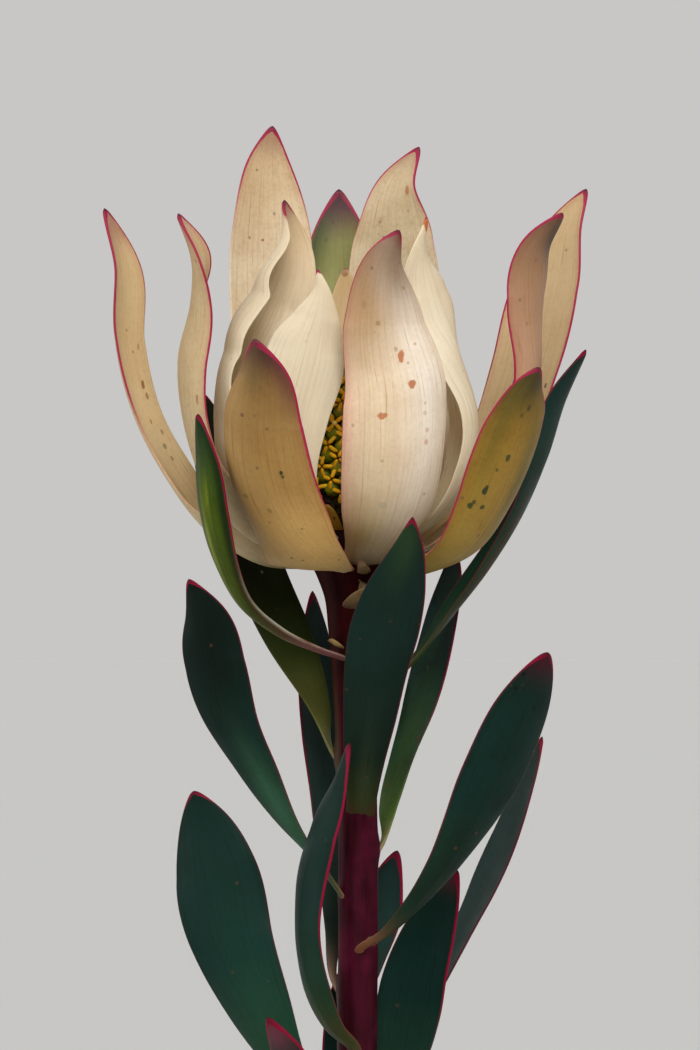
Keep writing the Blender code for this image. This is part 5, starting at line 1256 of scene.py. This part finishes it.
# blemishes read off the photograph: pixels across and down, radius in mm, stretch, colour, strength
BRACT_FLECKS = {
    "bract_front_right": (
        (401, 356, 0.62, 1.9, RUST, 0.85), (412, 384, 0.75, 1.1, RUST, 0.85),
        (382, 416, 1.0, 0.65, RUST, 0.8), (427, 430, 0.45, 1, RUST, 0.4),
        (426, 442, 0.45, 1.3, RUST, 0.45), (425, 413, 0.4, 1.2, RUST, 0.35),
        (415, 344, 0.3, 1, RUST, 0.5), (425, 403, 0.3, 1, RUST, 0.35), (408, 363, 0.3, 1, BROWN, 0.4),
        (378, 323, 0.5, 1, BROWN, 0.55), (372, 268, 0.4, 1, UMBER, 0.5), (398, 263, 0.45, 1, UMBER, 0.5),
        (403, 288, 0.4, 1, BROWN, 0.5), (396, 349, 0.4, 1.2, BROWN, 0.45), (383, 505, 0.9, 0.8, ASH, 0.4),
        (364, 304, 0.5, 1.8, BROWN, 0.35)),
    "bract_front_left": (
        (281, 473, 0.42, 1.1, MOSS, 1.0), (282.6, 477, 0.36, 1.2, "#4c4408", 0.9),
        (242, 415, 0.4, 1, UMBER, 0.7), (267, 429, 0.35, 1, UMBER, 0.6), (257, 468, 0.35, 1, UMBER, 0.6),
        (247, 496, 0.5, 1.3, MOSS, 0.35), (270, 511, 0.5, 1.3, MOSS, 0.35),
        (292, 558, 0.35, 1, UMBER, 0.6), (303, 560, 0.35, 1, UMBER, 0.6), (302, 529, 0.3, 1, UMBER, 0.5)),
    "bract_front_right_low": (
        (485, 491, 0.6, 2.0, MOSS, 0.95), (487, 487, 0.4, 1.6, MOSS, 0.9),
        (470, 506, 0.7, 1.0, MOSS, 0.9), (474, 502, 0.4, 1.3, MOSS, 0.8),
        (482, 507, 0.5, 1.2, MOSS, 0.85), (529, 408, 0.4, 2.4, MOSS, 0.8),
        (508, 458, 0.5, 1.8, MOSS, 0.85), (497, 470, 0.35, 1.2, MOSS, 0.6),
        (522, 415, 0.35, 2.0, MOSS, 0.5), (462, 498, 0.4, 1, UMBER, 0.5),
        (478, 535, 0.4, 1, UMBER, 0.45)),
    "bract_right_folded": ((428, 224, 1.3, 1.4, RUST, 0.95),),
    "bract_back_centre": ((345, 273, 0.7, 1, "#8a5a3a", 0.75),),
    "bract_far_left": (
        (143, 385, 0.5, 2.4, BROWN, 0.9), (147, 396, 0.4, 2.0, BROWN, 0.7),
        (151, 421, 0.4, 2.0, BROWN, 0.6), (148, 437, 0.35, 2.0, BROWN, 0.6),
        (162, 432, 0.4, 1.8, BROWN, 0.6), (138, 347, 0.35, 2.0, BROWN, 0.5),
        (165, 446, 0.5, 2, MOSS, 0.55), (172, 458, 0.45, 1.6, MOSS, 0.5), (127, 330, 0.35, 1, UMBER, 0.5),
        (133, 352, 0.35, 1, UMBER, 0.5)),
    "bract_left": (
        (186, 338, 0.55, 3.0, BROWN, 0.9), (196, 258, 0.35, 1.8, BROWN, 0.7),
        (199, 268, 0.4, 1.8, BROWN, 0.75), (186, 372, 0.4, 2.4, BROWN, 0.6),
        (205, 286, 0.35, 1.6, BROWN, 0.6), (197, 400, 0.35, 3.0, BROWN, 0.7),
        (200, 300, 0.35, 1.4, UMBER, 0.45)),
    "bract_back_left": (
        (263, 240, 0.32, 1, "#9a3a2a", 0.75), (257, 170, 0.26, 1, UMBER, 0.6),
        (250, 300, 0.25, 1, BROWN, 0.5)),
    "bract_back_right": ((407, 190, 0.5, 2, "#a3622f", 0.75), (380, 222, 0.35, 1, UMBER, 0.45)),
    "bract_right_outer": (
        (545, 385, 0.5, 1.3, MOSS, 0.75), (566, 250, 0.35, 1, UMBER, 0.5),
        (556, 215, 0.35, 1, BROWN, 0.5)),
    "bract_right_inner": ((536, 260, 0.4, 1.4, "#9a4a4a", 0.5), (520, 300, 0.35, 1, UMBER, 0.45)),
    "bract_back_green": ((326, 240, 0.4, 1.6, "#5f5a2a", 0.6), (333, 222, 0.35, 1.2, "#54402a", 0.6)),
}
FLESHY = {"Roughness": 0.5, "Specular IOR Level": 0.35, "Subsurface Weight": 0.1,
          "Subsurface Radius": (1.0, 0.75, 0.5), "Subsurface Scale": 1.2 * MILLIMETRE}
BRACT_SLOTS = {"bract_front_left": "bract_gold", "bract_front_right_low": "bract_gold",
               "bract_back_green": "bract_green"}

for serial, (name, stations) in enumerate(BRACTS.items(), start=20):
    points, layers, shape = blade_grid(stations, RECEPTACLE, BRACT_HALF_THICKNESS, BRACT_WAVE, serial,
                                      *BRACT_TRIM.get(name, ()))
    layers.update(dressed_layers(shape, BRACT_DRESS[name], BRACT_PATCHES.get(name, ())))
    flecks = fleck_places(BRACT_FLECKS.get(name, ()), points, shape["towards"])
    bract_skin = living_blade("living bract tissue, " + name.replace("bract_", "").replace("_", " "),
                              BRACT_VEINS_ACROSS, BRACT_CRIMSON, BRACT_DARK_TIP, flecks, FLESHY)
    fixed_piece(name + "_blade", mesh_from_grid(name + "_blade", points, layers), bract_skin,
                BRACT_SLOTS.get(name, "bract_cream"), name)

# The stage: a wide, flat, pale floor, a large soft light from the front, a weak one from the left,
# pale surroundings, and the camera level with the leaves and bloom.
FLOOR_RADIUS = 10.0
FLOOR_THICKNESS = 0.02
FLOOR_GREYS = ("#cbcac7", "#cecdca")
SURROUND_GREY = "#c8c7c5"
OVERHEAD_GREY = "#8a8b8d"
CAMERA_LENS = 180.45


def plain_floor():
    """Matt pale paint with the faintest clouding."""
    material, tree, shader = new_material("matt pale paint", {"Roughness": 0.9})
    place = add_node(tree, "TexCoord", output="Object")
    cloud = add_node(tree, "TexNoise", {"Vector": place, "Scale": 1.5, "Detail": 2.0})
    colour = add_node(tree, "Mix", {0: cloud, 6: FLOOR_GREYS[0], 7: FLOOR_GREYS[1]}, data_type="RGBA")
    tree.links.new(colour, shader.inputs["Base Color"])
    return material


floor_rings = np.array([0.02, 0.3, 1.0, 3.0, FLOOR_RADIUS, FLOOR_RADIUS, 0.02])[:, None]
floor_heights = np.array([0.0, 0.0, 0.0, 0.0, 0.0, -FLOOR_THICKNESS, -FLOOR_THICKNESS])[:, None]
floor_mesh = mesh_from_grid("floor", circles(0.0, 0.0, floor_rings, floor_heights, 96))
floor_mesh.shade_flat()
floor_mesh.materials.append(plain_floor())
floor = bpy.data.objects.new("floor", floor_mesh)
bpy.context.scene.collection.objects.link(floor)

world = bpy.data.worlds.new("pale surroundings")
world.use_nodes = True
bpy.context.scene.world = world
bpy.context.scene.view_settings.view_transform = "Standard"
heaven = world.node_tree
direction = add_node(heaven, "TexCoord", output="Generated")
upwards = add_node(heaven, "SeparateXYZ", {"Vector": direction}, output="Z")
dimming = add_node(heaven, "MapRange", {"Value": upwards, "From Min": 0.3, "From Max": 0.7},
                   interpolation_type="SMOOTHSTEP")
shade = add_node(heaven, "Mix", {0: dimming, 6: SURROUND_GREY, 7: OVERHEAD_GREY}, data_type="RGBA")
heaven.links.new(shade, heaven.nodes["Background"].inputs["Color"])


def soft_sun(name, irradiance, spread, azimuth, elevation):
    """A sun as wide as a soft box, shining from a compass angle and a height, in degrees."""
    data = bpy.data.lights.new(name, "SUN")
    data.energy = irradiance
    data.angle = math.radians(spread)
    lamp = bpy.data.objects.new(name, data)
    lamp.rotation_euler = (math.radians(90.0 - elevation), 0.0, math.radians(azimuth + 90.0))
    bpy.context.scene.collection.objects.link(lamp)


soft_sun("key light", 2.3, 30.0, -82.0, 40.0)
soft_sun("fill light", 0.95, 60.0, -174.0, 25.0)

camera_data = bpy.data.cameras.new("camera")
camera_data.lens = CAMERA_LENS
camera = bpy.data.objects.new("camera", camera_data)
camera.location = (CAMERA_X * MILLIMETRE, -CAMERA_DISTANCE * MILLIMETRE, CAMERA_HEIGHT * MILLIMETRE)
camera.rotation_euler = (math.radians(90.0), 0.0, 0.0)
bpy.context.scene.collection.objects.link(camera)
bpy.context.scene.camera = camera
